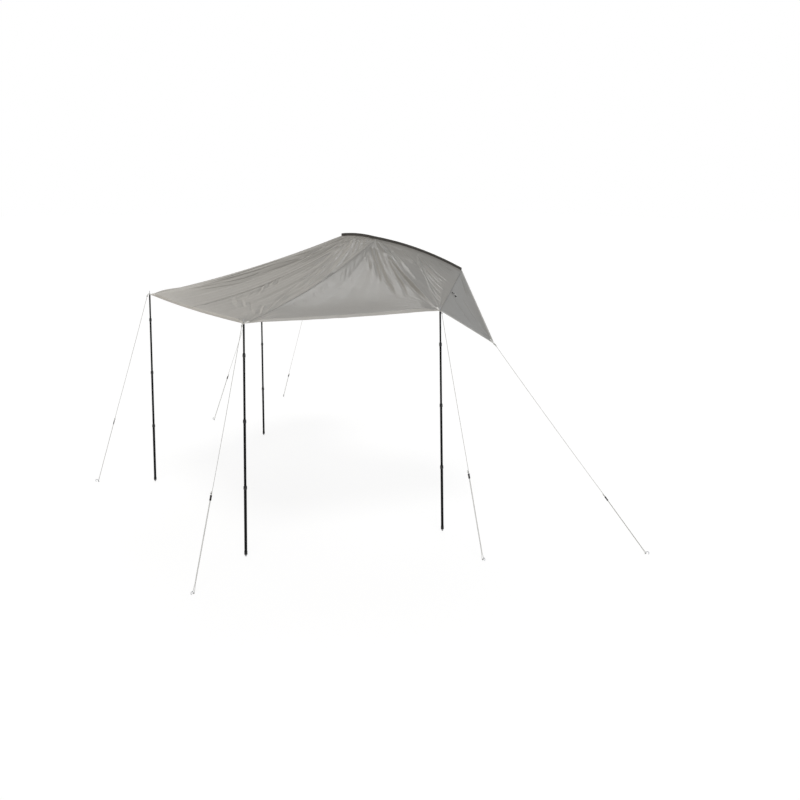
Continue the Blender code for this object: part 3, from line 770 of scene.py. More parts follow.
# -------------------------------------------------- folds
# Each fold is a line drawn on the cloth where the picture shows it, given by
# points of the 800 x 800 picture: (panel, height mm, half width mm at its
# start and end, points).  Heights above zero are ridges, below it valleys.
FOLDS = [
    # gathers that spread from the peak, front half
    ("roof", 6, 9, 11, [(351.0, 237.4), (346.6, 244.5), (340.4, 252.5), (329.6, 264.1), (322.5, 271.3), (313.6, 280.2), (302.9, 290.0), (290.4, 300.8)]),
    ("roof", -5, 10, 14, [(349.4, 237.2), (344.0, 244.6), (337.4, 252.4), (326.6, 263.6), (317.0, 272.8), (304.0, 284.0), (292.0, 294.4)]),
    ("roof", -9, 9, 11, [(352.2, 236.5), (348.4, 242.7), (342.1, 251.6), (335.9, 260.6), (327.9, 271.3), (318.6, 281.6), (308.4, 290.4)]),
    ("roof", 9, 14, 22, [(354.2, 238.0), (351.0, 246.0), (345.5, 255.0), (338.5, 264.5), (330.0, 274.4), (319.0, 284.0), (306.0, 293.0)]),
    ("roof", -9, 9, 10, [(356.4, 237.4), (353.8, 247.2), (350.2, 256.1), (345.7, 262.4)]),
    ("roof", 6, 9, 10, [(357.4, 239.5), (355.5, 247.5), (353.4, 255.4)]),
    ("roof", -8, 8, 9, [(358.8, 238.8), (358.2, 244.5), (356.9, 249.9), (355.5, 255.2)]),
    ("roof", 6, 8, 9, [(361.4, 239.4), (359.4, 246.5), (357.6, 252.4)]),
    ("roof", -8, 8, 9, [(364.2, 238.2), (362.7, 244.5), (360.0, 249.9)]),
    ("roof", 5, 7, 8, [(366.2, 240.2), (363.8, 246.0)]),
    ("roof", -7, 7, 7, [(368.6, 237.8), (368.8, 241.6)]),
    ("roof", -8, 14, 26, [(344.6, 239.8), (336.0, 247.6), (326.0, 256.2), (314.0, 265.4), (300.0, 276.4)]),
    ("roof", 4, 12, 18, [(346.0, 242.5), (336.0, 251.6), (325.0, 261.4), (312.0, 272.5)]),
    ("roof", -5, 16, 24, [(320.0, 266.5), (306.0, 277.0), (290.0, 290.0), (274.0, 304.0)]),
    ("roof", -7, 10, 16, [(345.5, 237.2), (335.3, 241.9), (320.0, 249.2), (306.0, 257.0), (292.0, 264.4)]),
    ("roof", 4, 10, 14, [(341.0, 241.6), (326.0, 249.6), (310.0, 258.4), (294.0, 267.0)]),
    # folds that start on the seam towards the outer pole
    ("roof", 6, 10, 10, [(268.0, 311.4), (273.0, 306.8), (277.9, 302.5), (283.2, 297.6), (288.6, 292.7), (296.0, 286.0)]),
    ("roof", -4, 10, 12, [(266.6, 309.4), (274.0, 302.6), (284.0, 293.4)]),
    ("roof", -3, 10, 12, [(271.0, 312.0), (280.6, 303.6), (292.0, 293.0)]),
    ("roof", 5, 9, 10, [(280.0, 306.4), (290.0, 301.0), (304.0, 293.2), (318.0, 284.6), (330.0, 275.6)]),
    ("roof", 6, 10, 10, [(261.4, 315.0), (263.4, 309.6), (266.4, 303.6)]),
    ("roof", -5, 10, 10, [(258.4, 314.4), (260.0, 309.0), (262.4, 303.4)]),
    ("roof", 6, 9, 9, [(257.2, 316.2), (255.6, 312.8), (253.8, 308.8)]),
    ("roof", -4, 8, 8, [(249.6, 302.0), (250.4, 308.0), (251.2, 314.0)]),
    ("roof", 5, 9, 9, [(245.6, 301.6), (246.6, 305.0), (247.2, 309.6)]),
    ("roof", -4, 8, 8, [(240.8, 299.4), (242.2, 303.6), (243.6, 309.0)]),
    ("roof", 5, 9, 9, [(234.6, 297.2), (236.8, 300.4), (239.0, 304.6)]),
    ("roof", -4, 9, 9, [(229.4, 300.0), (233.2, 305.2), (237.4, 311.4)]),
    ("roof", 3, 9, 9, [(228.6, 299.4), (231.4, 303.6)]),
    # puckers that hang from the centre seam
    ("roof", 7, 10, 10, [(267.2, 283.6), (263.6, 288.6), (258.8, 296.0)]),
    ("roof", -6, 10, 11, [(263.6, 284.6), (259.8, 290.0), (255.6, 296.0)]),
    ("roof", 5, 9, 10, [(277.4, 279.0), (274.6, 281.8), (271.0, 286.2)]),
    ("roof", -4, 6, 8, [(280.6, 277.6), (277.0, 282.6), (273.6, 287.4)]),
    ("roof", -4, 6, 8, [(273.4, 280.4), (269.4, 284.0), (266.6, 288.6)]),
    ("roof", 4, 6, 8, [(252.2, 291.0), (249.4, 294.4), (246.4, 298.4)]),
    ("roof", 3, 6, 8, [(241.6, 294.6), (240.4, 297.0)]),
    ("roof", -4, 10, 10, [(202.0, 307.5), (220.0, 300.4), (238.0, 294.4), (254.0, 289.0), (268.5, 283.6), (282.0, 276.6), (293.0, 271.0), (306.0, 263.4)]),
    # rear half: long folds that run from the peak to the rear corner
    ("roof", -8, 8, 14, [(325.0, 246.6), (302.0, 256.0), (274.0, 264.6), (249.6, 272.8), (228.0, 279.4), (205.0, 285.6), (188.0, 290.0)]),
    ("roof", 7, 8, 12, [(325.0, 248.8), (302.0, 258.2), (274.0, 267.0), (249.6, 275.2), (225.0, 282.0), (203.0, 287.6), (180.0, 292.2)]),
    ("roof", -6, 8, 9, [(262.0, 273.4), (245.0, 279.4), (227.7, 283.8), (203.0, 288.9), (180.0, 293.4)]),
    ("roof", 4, 8, 9, [(255.0, 278.4), (240.0, 283.0), (220.0, 287.4), (190.0, 293.0)]),
    ("roof", -6, 8, 14, [(331.0, 243.2), (316.0, 251.4), (295.0, 261.8), (274.0, 270.0), (256.0, 276.8)]),
    ("roof", 4, 8, 12, [(334.0, 243.6), (318.0, 252.8), (298.0, 263.4), (278.0, 272.2)]),
    ("roof", -5, 8, 12, [(336.0, 244.6), (322.0, 253.2), (306.0, 262.4)]),
    # front side panel: folds that spread from the shoulder
    ("side", -6, 9, 13, [(370.2, 246.0), (372.2, 255.5), (375.8, 265.7), (378.4, 275.0), (380.4, 284.0)]),
    ("side", 5, 7, 10, [(372.0, 247.0), (374.6, 256.0), (379.0, 268.0), (383.0, 279.0)]),
    ("side", -10, 9, 12, [(373.8, 247.2), (377.3, 258.8), (381.8, 270.4), (385.4, 279.3), (390.7, 288.3), (395.2, 295.4), (398.6, 300.0)]),
    ("side", 6, 10, 13, [(376.2, 247.6), (380.4, 260.0), (385.6, 272.4), (391.4, 284.0), (398.0, 294.6)]),
    ("side", -8, 9, 12, [(386.4, 256.0), (390.7, 265.9), (396.1, 276.6), (401.4, 284.7), (405.0, 292.7), (406.6, 298.1), (410.6, 303.0)]),
    ("side", 5, 9, 12, [(388.6, 258.6), (393.6, 268.0), (399.4, 277.4), (404.6, 285.6), (408.4, 293.4)]),
    ("side", -10, 15, 19, [(384.6, 250.4), (388.0, 256.1), (394.3, 265.0), (403.2, 276.6), (412.1, 287.4), (421.1, 296.3), (429.1, 303.4), (434.0, 307.0)]),
    ("side", 8, 11, 12, [(380.9, 240.9), (388.9, 252.5), (397.9, 264.1), (406.8, 275.8), (415.7, 286.5), (424.6, 296.3), (433.6, 305.2)]),
    ("side", 4, 12, 16, [(392.0, 250.0), (402.0, 262.0), (411.6, 274.0), (420.0, 284.6)]),
    ("side", -4, 12, 16, [(389.0, 249.0), (398.0, 260.0), (407.0, 271.6)]),
    # pleats between the arch and the inner pole
    ("side", 5, 9, 10, [(417.8, 254.4), (420.2, 265.0), (426.4, 276.8), (431.6, 290.2), (438.0, 302.2)]),
    ("side", -6, 7, 8, [(416.0, 252.6), (421.0, 261.4), (428.0, 270.4), (437.0, 280.4), (445.4, 287.4)]),
    ("side", -5, 7, 8, [(422.0, 257.4), (433.0, 269.8), (444.4, 279.8), (450.6, 284.8)]),
    ("side", 4, 7, 8, [(419.4, 256.0), (427.6, 267.0), (438.6, 277.6), (447.6, 285.0)]),
    ("side", -6, 7, 8, [(422.8, 270.0), (430.2, 281.2), (437.4, 290.6), (443.0, 296.2)]),
    ("side", 4, 7, 8, [(424.6, 267.6), (433.0, 279.0), (441.0, 287.6), (446.0, 292.0)]),
    ("side", -5, 7, 7, [(430.8, 289.8), (436.4, 298.0), (440.6, 302.4)]),
    ("side", 3, 7, 7, [(433.4, 288.0), (438.4, 295.4), (442.6, 299.6)]),
    ("side", -3, 7, 8, [(430.0, 259.4), (441.0, 269.2), (452.0, 278.2)]),
    ("side", -6, 10, 14, [(436.0, 261.6), (446.0, 267.6), (455.6, 274.0)]),
    ("side", 3, 10, 12, [(400.0, 248.6), (406.6, 254.6), (413.0, 261.4), (418.6, 267.6)]),
    # puckers that hang from the roof seam
    ("side", -2, 8, 9, [(356.0, 257.0), (355.4, 263.0), (355.0, 268.0)]),
    ("side", -1.6, 9, 10, [(347.6, 265.4), (346.6, 272.0), (345.4, 281.0)]),
    ("side", -1.6, 9, 10, [(343.4, 269.8), (342.0, 276.0), (341.0, 283.0)]),
    ("side", 2, 9, 10, [(345.4, 268.0), (344.4, 275.0)]),
    ("side", -1.6, 9, 10, [(334.6, 276.8), (333.6, 280.0), (333.0, 284.0)]),
    ("side", -1.8, 9, 10, [(320.2, 286.8), (321.0, 290.0), (322.0, 294.0)]),
    ("side", -2, 9, 10, [(326.6, 283.0), (326.6, 287.0), (327.0, 291.0)]),
    ("side", -3, 5, 6, [(312.6, 291.6), (314.0, 295.0), (315.6, 298.4)]),
    ("side", -3, 5, 6, [(303.0, 296.8), (304.6, 300.0), (306.4, 303.0)]),
    ("side", -3, 5, 6, [(292.0, 302.0), (294.0, 305.0), (296.4, 307.6)]),
    ("side", -2, 7, 9, [(363.6, 250.6), (363.4, 257.0), (364.0, 266.0)]),
    ("side", -1.2, 9, 14, [(351.4, 265.0), (350.8, 276.0), (350.6, 288.0)]),
    ("side", -2.5, 10, 18, [(366.8, 248.6), (368.0, 260.0), (370.0, 274.0)]),
    # wing: short folds under its upper corner
    ("wing", -5, 7, 12, [(459.8, 275.4), (462.6, 284.0), (467.6, 299.0)]),
    ("wing", -4, 7, 12, [(462.8, 277.0), (465.6, 287.0), (471.4, 300.4)]),
    ("wing", 4, 6, 9, [(461.2, 274.0), (464.0, 284.0), (469.0, 298.0)]),
    ("wing", -3, 12, 20, [(452.0, 296.0), (462.0, 311.0), (474.0, 327.0)]),
    ("wing", 3, 12, 18, [(462.0, 297.0), (471.0, 312.0), (481.0, 327.0)]),
]


def patch_tree(patch, na=120, nb=80):
    (a0, a1), (b0, b1) = LIMITS[patch]
    a, b = np.meshgrid(np.linspace(a0, a1, na), np.linspace(b0, b1, nb), indexing="ij")
    P = BASE[patch](a, b).reshape(-1, 3)
    f, _ = lattice(na, nb)
    return BVHTree.FromPolygons([Vector(p) for p in P], [tuple(int(i) for i in q) for q in f])


STEEP = 0.62


class Fold:
    def __init__(self, patch, height, w0, w1, line):
        self.patch, self.h, self.w0, self.w1 = patch, height * MM, w0 * MM, w1 * MM
        self.line = line
        seg = np.linalg.norm(np.diff(line, axis=0), axis=1)
        self.s = np.concatenate([[0], np.cumsum(seg)])
        self.len = self.s[-1]

    def at(self, p):
        """Height of the fold at points p (n, 3)."""
        reach = 3.2 * max(self.w0, self.w1)
        lo, hi = self.line.min(0) - reach, self.line.max(0) + reach
        m = np.all((p > lo) & (p < hi), axis=1)
        out = np.zeros(len(p))
        if not m.any():
            return out
        q = p[m]
        best, where = np.full(len(q), 1e9), np.zeros(len(q))
        for a, b, s0 in zip(self.line, self.line[1:], self.s):
            d = b - a
            L2 = max(float(d @ d), 1e-12)
            t = np.clip((q - a) @ d / L2, 0, 1)
            dist = np.linalg.norm(q - a - t[:, None] * d, axis=1)
            near = dist < best
            best[near], where[near] = dist[near], (s0 + t * math.sqrt(L2))[near]
        t = where / max(self.len, 1e-9)
        w = self.w0 + (self.w1 - self.w0) * t
        rise = smoothstep(where / min(0.05, 0.3 * self.len))
        fall = smoothstep((self.len - where) / (0.34 * self.len))
        high = np.sign(self.h) * np.minimum(abs(self.h), STEEP * w)
        out[m] = high * rise * fall * np.exp(-((best / w) ** 2))
        return out


TREES = {k: patch_tree(k) for k in BASE}


def on_cloth(patch, px, py):
    """The point of a panel of the front side that the picture shows there."""
    d = sight(px, py)
    hit, _, _, _ = TREES[patch].ray_cast(Vector(CAM_POS), Vector(d))
    if hit is None:
        # just past the panel's edge: the nearest point of the panel
        best = None
        for t in np.linspace(4.0, 10.0, 400):
            p = Vector(CAM_POS + d * t)
            near, _, _, dist = TREES[patch].find_nearest(p)
            if best is None or dist < best[0]:
                best = (dist, near)
        hit = best[1]
        if best[0] > 0.06:
            print("fold point off its panel:", patch, px, py, round(best[0], 3))
    return np.array(hit)


GAIN = {"roof": 1.35, "side": 1.2, "wing": 1.2}
folds = []
for patch, h, w0, w1, pts in FOLDS:
    h *= GAIN[patch]
    ends = np.array([on_cloth(patch, x, y) for x, y in pts])
    line = curve_through(ends, 0.03) if len(ends) > 2 else ends
    folds.append(Fold(patch, h, w0, w1, line))
FRONT = {k: [f for f in folds if f.patch == k] for k in BASE}
# the rear panels have their own folds: those of the front ones, moved a little
shift = np.random.RandomState(7)
REAR = {"side": [], "wing": []}
for k in REAR:
    for f in FRONT[k]:
        c = C if k == "side" else W
        turn = shift.uniform(-0.035, 0.035)
        ca, sa = math.cos(turn), math.sin(turn)
        q = f.line - c
        moved = np.stack([q[:, 0] * ca - q[:, 1] * sa, q[:, 0] * sa + q[:, 1] * ca, q[:, 2]], -1)
        moved = moved * shift.uniform(0.85, 1.08) + c
        near = np.array([TREES[k].find_nearest(Vector(p))[0] for p in moved])
        REAR[k].append(Fold(k, f.h / MM * shift.uniform(0.6, 1.15), f.w0 / MM, f.w1 / MM, near))

# The cloth beyond the crest falls away to a kink, and rises again to its seams.
KINK = [on_cloth("side", x, y) for x, y in ((416.4, 254.0), (418.4, 259.6), (420.4, 264.6), (425.6, 275.0), (431.4, 290.2), (437.4, 302.2))]
ga, gb = np.meshgrid(np.linspace(1.0, 2.0, 161), np.linspace(0.02, 1.0, 161), indexing="ij")
gp = side(ga, gb)
near_ab = []
for q in KINK:
    i = np.unravel_index(np.argmin(np.linalg.norm(gp - q, axis=-1)), ga.shape)
    near_ab.append((gb[i], ga[i]))
near_ab = sorted(near_ab)
KINK_B = np.array([0.0] + [x[0] for x in near_ab] + [1.0])
KINK_A = np.array([near_ab[0][1]] + [x[1] for x in near_ab] + [1.02])
print("kink", [(round(float(x), 2), round(float(y), 2)) for x, y in zip(KINK_B, KINK_A)])


def hollow(a, b):
    """Depth of the hollow beyond the crest, at a > 1."""
    ak = np.interp(b, KINK_B, KINK_A)
    across = np.linalg.norm(side(ak, b) - side(1.0 + 0 * b, b), axis=-1)
    deep = np.minimum(0.15 * across, 0.026)
    t = np.clip((a - 1) / np.maximum(ak - 1, 1e-4), 0, 1)
    t = np.minimum(t, smoothstep((2 - a) / 0.45))
    return np.where(a > 1, -deep * t, 0.0)


WAVE = np.random.RandomState(11)
PH = WAVE.uniform(0, 2 * np.pi, (4, 12))
SEAM_LEN = {"roof": 2.2, "centre": 2.05, "pole": 1.25}


def ripple(t, length, row, period):
    """Uneven ripples along a seam, from -1 to 1."""
    x = np.asarray(t, float) * length
    a = PH[row]
    swell = 0.55 + 0.45 * np.sin(x * 5.1 + a[0]) * np.sin(x * 11.7 + a[1])
    return swell * np.sin(2 * np.pi * x / period + 1.6 * np.sin(x * 7.3 + a[2]) + a[3]) * (
        0.7 + 0.3 * np.sin(x * 23.0 + a[4]))


def corner_folds(p, corner, count, reach, height, row, centre_angle):
    """Fine folds that run out of a held corner."""
    d = p - corner
    rho = np.linalg.norm(d, axis=-1)
    th = np.arctan2(d[..., 1], d[..., 0]) - centre_angle
    th = (th + np.pi) % (2 * np.pi) - np.pi
    a = PH[row]
    g = (rho / reach) * np.exp(1 - rho / reach) * smoothstep((rho - 0.028) / 0.05)
    w = np.sin(count * th + 1.5 * np.sin(3.1 * th + a[5]) + a[6]) * (0.6 + 0.4 * np.sin(2.3 * count / 3 * th + a[7]))
    return height * g * w


def relief(patch, a, b, p, sign=1):
    """How far the cloth stands off its base surface; p is on the front side."""
    a, b = np.broadcast_arrays(np.asarray(a, float), np.asarray(b, float))
    shape_ = a.shape
    a, b, q = a.ravel(), b.ravel(), np.asarray(p, float).reshape(-1, 3)
    h = np.zeros(len(q))
    if patch == "roof":
        for f in FRONT["roof"]:
            h += f.at(q)
        au = np.abs(a)
        half = roof_half(1.0, b)[:, 0]
        d_seam, d_top, d_mid = (1 - au) * half, (1 - b) * 2.0, au * half
        row = np.where(a < 0, 1, 0)
        # long soft waves along the pull of the cloth
        for i, (n, amp) in enumerate(((3.0, 2.2), (5.2, 1.5), (8.3, 1.0))):
            ph = np.where(a < 0, PH[2, i], PH[0, i])
            h += amp * MM * np.sin(2 * np.pi * n * au + ph + 1.2 * b) * 4 * b * (1 - b)
        # gathers at the top
        g = np.exp(-d_top / 0.34) * smoothstep(d_top / 0.03)
        h += 2.4 * MM * g * np.sin(2 * np.pi * 7.5 * a + 1.3 * np.sin(9 * a + PH[0, 8]) + PH[1, 8])
        h += 1.4 * MM * g * np.sin(2 * np.pi * 13.0 * a + 1.1 * np.sin(15 * a) + PH[2, 8])
        h *= smoothstep(d_seam / 0.022) * smoothstep(d_top / 0.02)
        h += corner_folds(q, T2, 26, 0.13, 2.4 * MM, 0, 2.0) * smoothstep(d_seam / 0.02)
        h += corner_folds(q, T1, 24, 0.13, 2.2 * MM, 1, 1.1) * smoothstep(d_seam / 0.02)
        h += 1.1 * MM * np.exp(-d_seam / 0.035) * np.where(
            a < 0, ripple(b, 2.2, 1, 0.047), ripple(b, 2.2, 0, 0.047)) * smoothstep(b / 0.04) * smoothstep(d_top / 0.04)
        h += 1.0 * MM * np.exp(-d_mid / 0.032) * ripple(b, 2.05, 2, 0.041) * smoothstep(d_top / 0.04)
    elif patch == "side":
        for f in (FRONT if sign > 0 else REAR)["side"]:
            h += f.at(q)
        rim = np.linalg.norm(side(a, 1.0) - C, axis=-1)
        d_rim, d_seam = (1 - b) * rim, a * 1.73 * b * 0.7
        d_arch = (2 - a) * 1.24 * b * 0.8
        rows = 0 if sign > 0 else 3
        for i, (n, amp) in enumerate(((2.6, 2.4), (4.6, 1.2), (7.7, 0.6))):
            h += amp * MM * np.sin(2 * np.pi * n * a + PH[rows, 3 + i] + 1.4 * b) * 4 * b * (1 - b) * (0.15 + 0.85 * smoothstep((a - 0.05) / 0.4))
        h += hollow(a, b) * smoothstep(d_arch / 0.16) * smoothstep(b / 0.12) * smoothstep(d_rim / 0.42)
        h += np.where(a > 1, 0.018 * np.sin(np.pi * np.clip(a - 1, 0, 1)) * 4 * b * (1 - b), 0.0)
        # the tight fold along the crest
        h += 4.0 * MM * np.exp(-(((a - 1) * 1.3 * b / 0.013) ** 2)) * smoothstep(b / 0.15) * smoothstep(d_rim / 0.12)
        h *= smoothstep(d_seam / 0.022) * smoothstep(d_arch / 0.022) * smoothstep(b / 0.05)
        h *= np.where(a > 1, smoothstep(d_rim / 0.022), 1.0)
        hem = np.where(a < 1, np.sin(np.pi * np.clip(a, 0, 1)) ** 0.5, 0.0)
        h += 1.6 * MM * np.exp(-d_rim / 0.10) * ripple(a, 1.73, 3, 0.23) * hem
        h += corner_folds(q, T2, 22, 0.15, 2.2 * MM, 2, 1.2) * smoothstep(d_seam / 0.02)
        h += corner_folds(q, T4, 34, 0.15, 2.4 * MM, 3, 2.6) * np.where(a > 1, smoothstep(d_rim / 0.02), 1.0)
        h += 1.1 * MM * np.exp(-d_seam / 0.035) * ripple(1 - b, 2.2, 0 if sign > 0 else 1, 0.047) * smoothstep(b / 0.05) * smoothstep((1 - b) / 0.04)
        h += 1.0 * MM * np.exp(-d_rim / 0.030) * np.where(a > 1, ripple(a - 1, 1.25, 2, 0.043), 0.0) * smoothstep(d_arch / 0.03)
    else:
        for f in (FRONT if sign > 0 else REAR)["wing"]:
            h += f.at(q)
        d_rim = (1 - b) * 0.95
        h += 1.5 * MM * np.sin(2 * np.pi * 2.3 * a + PH[1, 4] + 2.0 * b) * 4 * b * (1 - b)
        h *= smoothstep(d_rim / 0.022) * smoothstep(b / 0.06)
        h += corner_folds(q, T4, 20, 0.12, 1.6 * MM, 1, 1.0) * smoothstep(d_rim / 0.02)
        h += corner_folds(q, W, 16, 0.10, 1.2 * MM, 2, 3.6) * smoothstep(d_rim / 0.02)
        h += 1.0 * MM * np.exp(-d_rim / 0.030) * ripple(a, 1.25, 2, 0.043) * smoothstep((1 - a) * 1.24 / 0.03)
    return h.reshape(shape_)


def droop(d, rise=0.0):
    """A free hem turns down past its stitching, at the distance d from its edge."""
    d = np.asarray(d, float)
    s = 0.0022
    down = s * np.logaddexp(0, (0.0185 - d) / s)
    return rise * np.exp(-((d / 0.30) ** 2)) - 0.95 * down


def along_hem(t, length):
    """1 between the ends of a hem, 0 at its held corners."""
    return smoothstep(t * length / 0.16) * smoothstep((1 - t) * length / 0.16)


def lift(patch, a, b, sign):
    """The free hems turn down, and the rear half of the roof rolls a little over its seam."""
    if patch == "roof":
        across = np.exp(-((np.abs(a) - 0.84) / 0.27) ** 2) - math.exp(-(0.84 / 0.27) ** 2)
        hem = droop(b * 2.05, 0.020) * along_hem((a + 1) / 2, 2.13)
        return np.where(a < 0, 0.034 * 4 * b * (1 - b) * across, 0.0) + hem
    if patch == "side":
        rim = np.linalg.norm(side(a, 1.0) - C, axis=-1)
        hem = np.where(a < 1, droop((1 - b) * rim, 0.026) * along_hem(np.clip(a, 0, 1), 1.73), 0.0)
        if sign > 0:
            return hem
        at_seam = math.exp(-(0.16 / 0.27) ** 2) - math.exp(-(0.84 / 0.27) ** 2)
        return hem + 0.034 * 4 * b * (1 - b) * at_seam * np.exp(-((np.clip(a, 0, 2) * 1.2 * b / 0.22) ** 2))
    return np.zeros_like(a)


def skin(patch, a, b, sign=1):
    """Points of the finished cloth, and its base normal there."""
    a, b = np.broadcast_arrays(np.asarray(a, float), np.asarray(b, float))
    p = BASE[patch](a, b)
    n = normal(patch, a, b)
    q = p + n * relief(patch, a, b, p, sign)[..., None] + Z * lift(patch, a, b, sign)[..., None]
    return flip(q, sign), flip(n, sign)


# -------------------------------------------------- the sheet
ROWS = 140
HALF_COLS = 103
sheet = Shape()


# rows of the fans: counted from the apex (0) to the rim (ROWS)
def warp(t):
    """Rows of the fans from apex to rim, close together in the hem."""
    return np.interp(t, [0, 128 / 140, 1], [0, 0.984, 1])


uu = np.linspace(-1, 1, 2 * HALF_COLS + 1)
vv = 1 - warp(1 - np.linspace(0, 1, ROWS + 1))
aa, bb = np.meshgrid(uu, vv, indexing="xy")          # (rows, cols)
p, _ = skin("roof", aa, bb)
sheet.add(p, [])
cols = 2 * HALF_COLS + 1
f, ij = lattice(ROWS + 1, cols)
WIDTH, LENGTH = 1.064, 2.05
uvs = np.stack([aa[ij[..., 0], ij[..., 1]] * WIDTH * (1 - 0.65 * bb[ij[..., 0], ij[..., 1]]),
                bb[ij[..., 0], ij[..., 1]] * LENGTH], -1)
sheet.f.append(f)
sheet.uv.append(uvs)


def fan(patch, params, rows, sign, edge_ids, apex_id, far_ids=None, scale=(1.2, 2.0)):
    """Fan of cloth with ever fewer columns towards its apex.  edge_ids: vertex
    ids along the first column, apex to rim.  far_ids: ids of the rim, if it is
    shared with another panel.  Returns the ids of the rim."""
    n = len(params) - 1
    ids = []
    for i in range(rows + 1):
        r = warp(i / rows)
        step = 1 if r >= 0.5 else (2 if r >= 0.25 else 4)
        if i == 0:
            ids.append((4, np.full(n // 4 + 1, apex_id)))
            continue
        if i == rows and far_ids is not None:
            ids.append((1, np.asarray(far_ids)))
            continue
        s = params[::step]
        keep = s if edge_ids is None else s[1:]
        p, _ = skin(patch, keep, np.full(len(keep), r), sign)
        base = sheet.add(p, [])
        row = np.arange(base, base + len(keep))
        if edge_ids is not None:
            row = np.concatenate([[edge_ids[i]], row])
        ids.append((step, row))
    faces, tris, fuv, tuv = [], [], [], []

    def uv_of(step, k, i):
        r = warp(i / rows)
        return np.stack([params[::step][k] * scale[0] * (0.3 + 0.7 * r), np.full(len(k), r * scale[1])], -1)

    for i in range(rows):
        (sa, A), (sb, Bv) = ids[i], ids[i + 1]
        if i == 0:
            k = np.arange(len(Bv) - 1)
            ratio = 4 // sb
            tris.append(np.stack([A[:1].repeat(len(k)), Bv[k], Bv[k + 1]], 1))
            tuv.append(np.stack([uv_of(sb, k, 0), uv_of(sb, k, 1), uv_of(sb, k + 1, 1)], 1))
        elif sa == sb:
            k = np.arange(len(A) - 1)
            faces.append(np.stack([A[k], Bv[k], Bv[k + 1], A[k + 1]], 1))
            fuv.append(np.stack([uv_of(sa, k, i), uv_of(sb, k, i + 1), uv_of(sb, k + 1, i + 1), uv_of(sa, k + 1, i)], 1))
        else:
            k = np.arange(len(A) - 1)
            j = 2 * k
            for t, u in ((np.stack([A[k], Bv[j], Bv[j + 1]], 1), (uv_of(sa, k, i), uv_of(sb, j, i + 1), uv_of(sb, j + 1, i + 1))),
                         (np.stack([A[k], Bv[j + 1], A[k + 1]], 1), (uv_of(sa, k, i), uv_of(sb, j + 1, i + 1), uv_of(sa, k + 1, i))),
                         (np.stack([A[k + 1], Bv[j + 1], Bv[j + 2]], 1), (uv_of(sa, k + 1, i), uv_of(sb, j + 1, i + 1), uv_of(sb, j + 2, i + 1)))):
                tris.append(t)
                tuv.append(np.stack(u, 1))
    for kind, uv, turn in ((faces, fuv, 1), (tris, tuv, 1)):
        if kind:
            f_, u_ = np.concatenate(kind), np.concatenate(uv)
            if (sign < 0) != (patch == "wing"):
                f_, u_ = f_[:, ::-1], u_[:, ::-1]
            sheet.f.append(f_)
            sheet.uv.append(u_)
    return ids[-1][1]


for sign, (n1, n2) in ((1, (160, 200)), (-1, (120, 120))):
    params = np.concatenate([np.linspace(0, 1, n1 + 1), np.linspace(1, 2, n2 + 1)[1:]])
    column = cols - 1 if sign > 0 else 0
    edge = [(ROWS - i) * cols + column for i in range(ROWS + 1)]
    rim_ids = fan("side", params, ROWS, sign, edge, edge[0], None, (1.5, 2.1))
    # the wing hangs from the rim between the inner pole and the arch's end
    tip, _ = skin("wing", np.array([0.5]), np.array([0.0]), sign)
    tip_id = sheet.add(tip, [])
    fan("wing", np.linspace(0, 1, n2 + 1), 52, sign, None, tip_id, rim_ids[n1:], (1.2, 0.95))

canopy = sheet.make("canopy_cloth_sheet", MAT["cloth"], "root", angle=None, recalc=False)
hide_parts("roof_panel", "front_side_panel", "rear_side_panel", "front_wing", "rear_wing")
print("canopy", len(canopy.data.vertices), "points", len(canopy.data.polygons), "faces")

# -------------------------------------------------- cut the corners under the grommets
def trim_corners(ob, points, radius):
    bm = bmesh.new()
    bm.from_mesh(ob.data)
    gone = []
    for f in bm.faces:
        c = f.calc_center_median()
        if any((c - Vector(p)).length < radius for p in points):
            gone.append(f)
    bmesh.ops.delete(bm, geom=gone, context="FACES")
    loose = [v for v in bm.verts if not v.link_faces]
    bmesh.ops.delete(bm, geom=loose, context="VERTS")
    bm.to_mesh(ob.data)
    bm.free()


HELD = [flip(vec(*top), s) for _, top, s in CORNERS.values()]
trim_corners(canopy, HELD, 0.0125)
cloth_tree = BVHTree.FromPolygons([v.co.copy() for v in canopy.data.vertices],
                                  [tuple(f.vertices) for f in canopy.data.polygons])

# ============================================================== seams and hems
SEAM_PROFILE = [(-8.4, -0.5), (-7.6, 0.25), (-7.2, 0.75), (-5.6, 1.00), (-4.5, 0.62), (-3.3, 1.05), (-1.0, 1.15),
                (1.0, 1.15), (3.3, 1.00), (4.5, 0.55), (5.6, 0.80), (6.8, 0.55), (7.4, -0.5)]
HEM_PROFILE = [(-0.9, 0.0), (-0.6, 0.8), (0.4, 1.15), (3.0, 1.05), (9.0, 0.95), (15.0, 1.0), (16.6, 0.85), (17.8, 0.50),
               (19.0, 0.85), (20.4, 0.80), (21.2, 0.3), (21.2, -0.3), (20.4, -0.8), (19.0, -0.85), (17.8, -0.50),
               (16.6, -0.85), (9.0, -0.95), (3.0, -1.05), (0.4, -1.15), (-0.6, -0.8)]


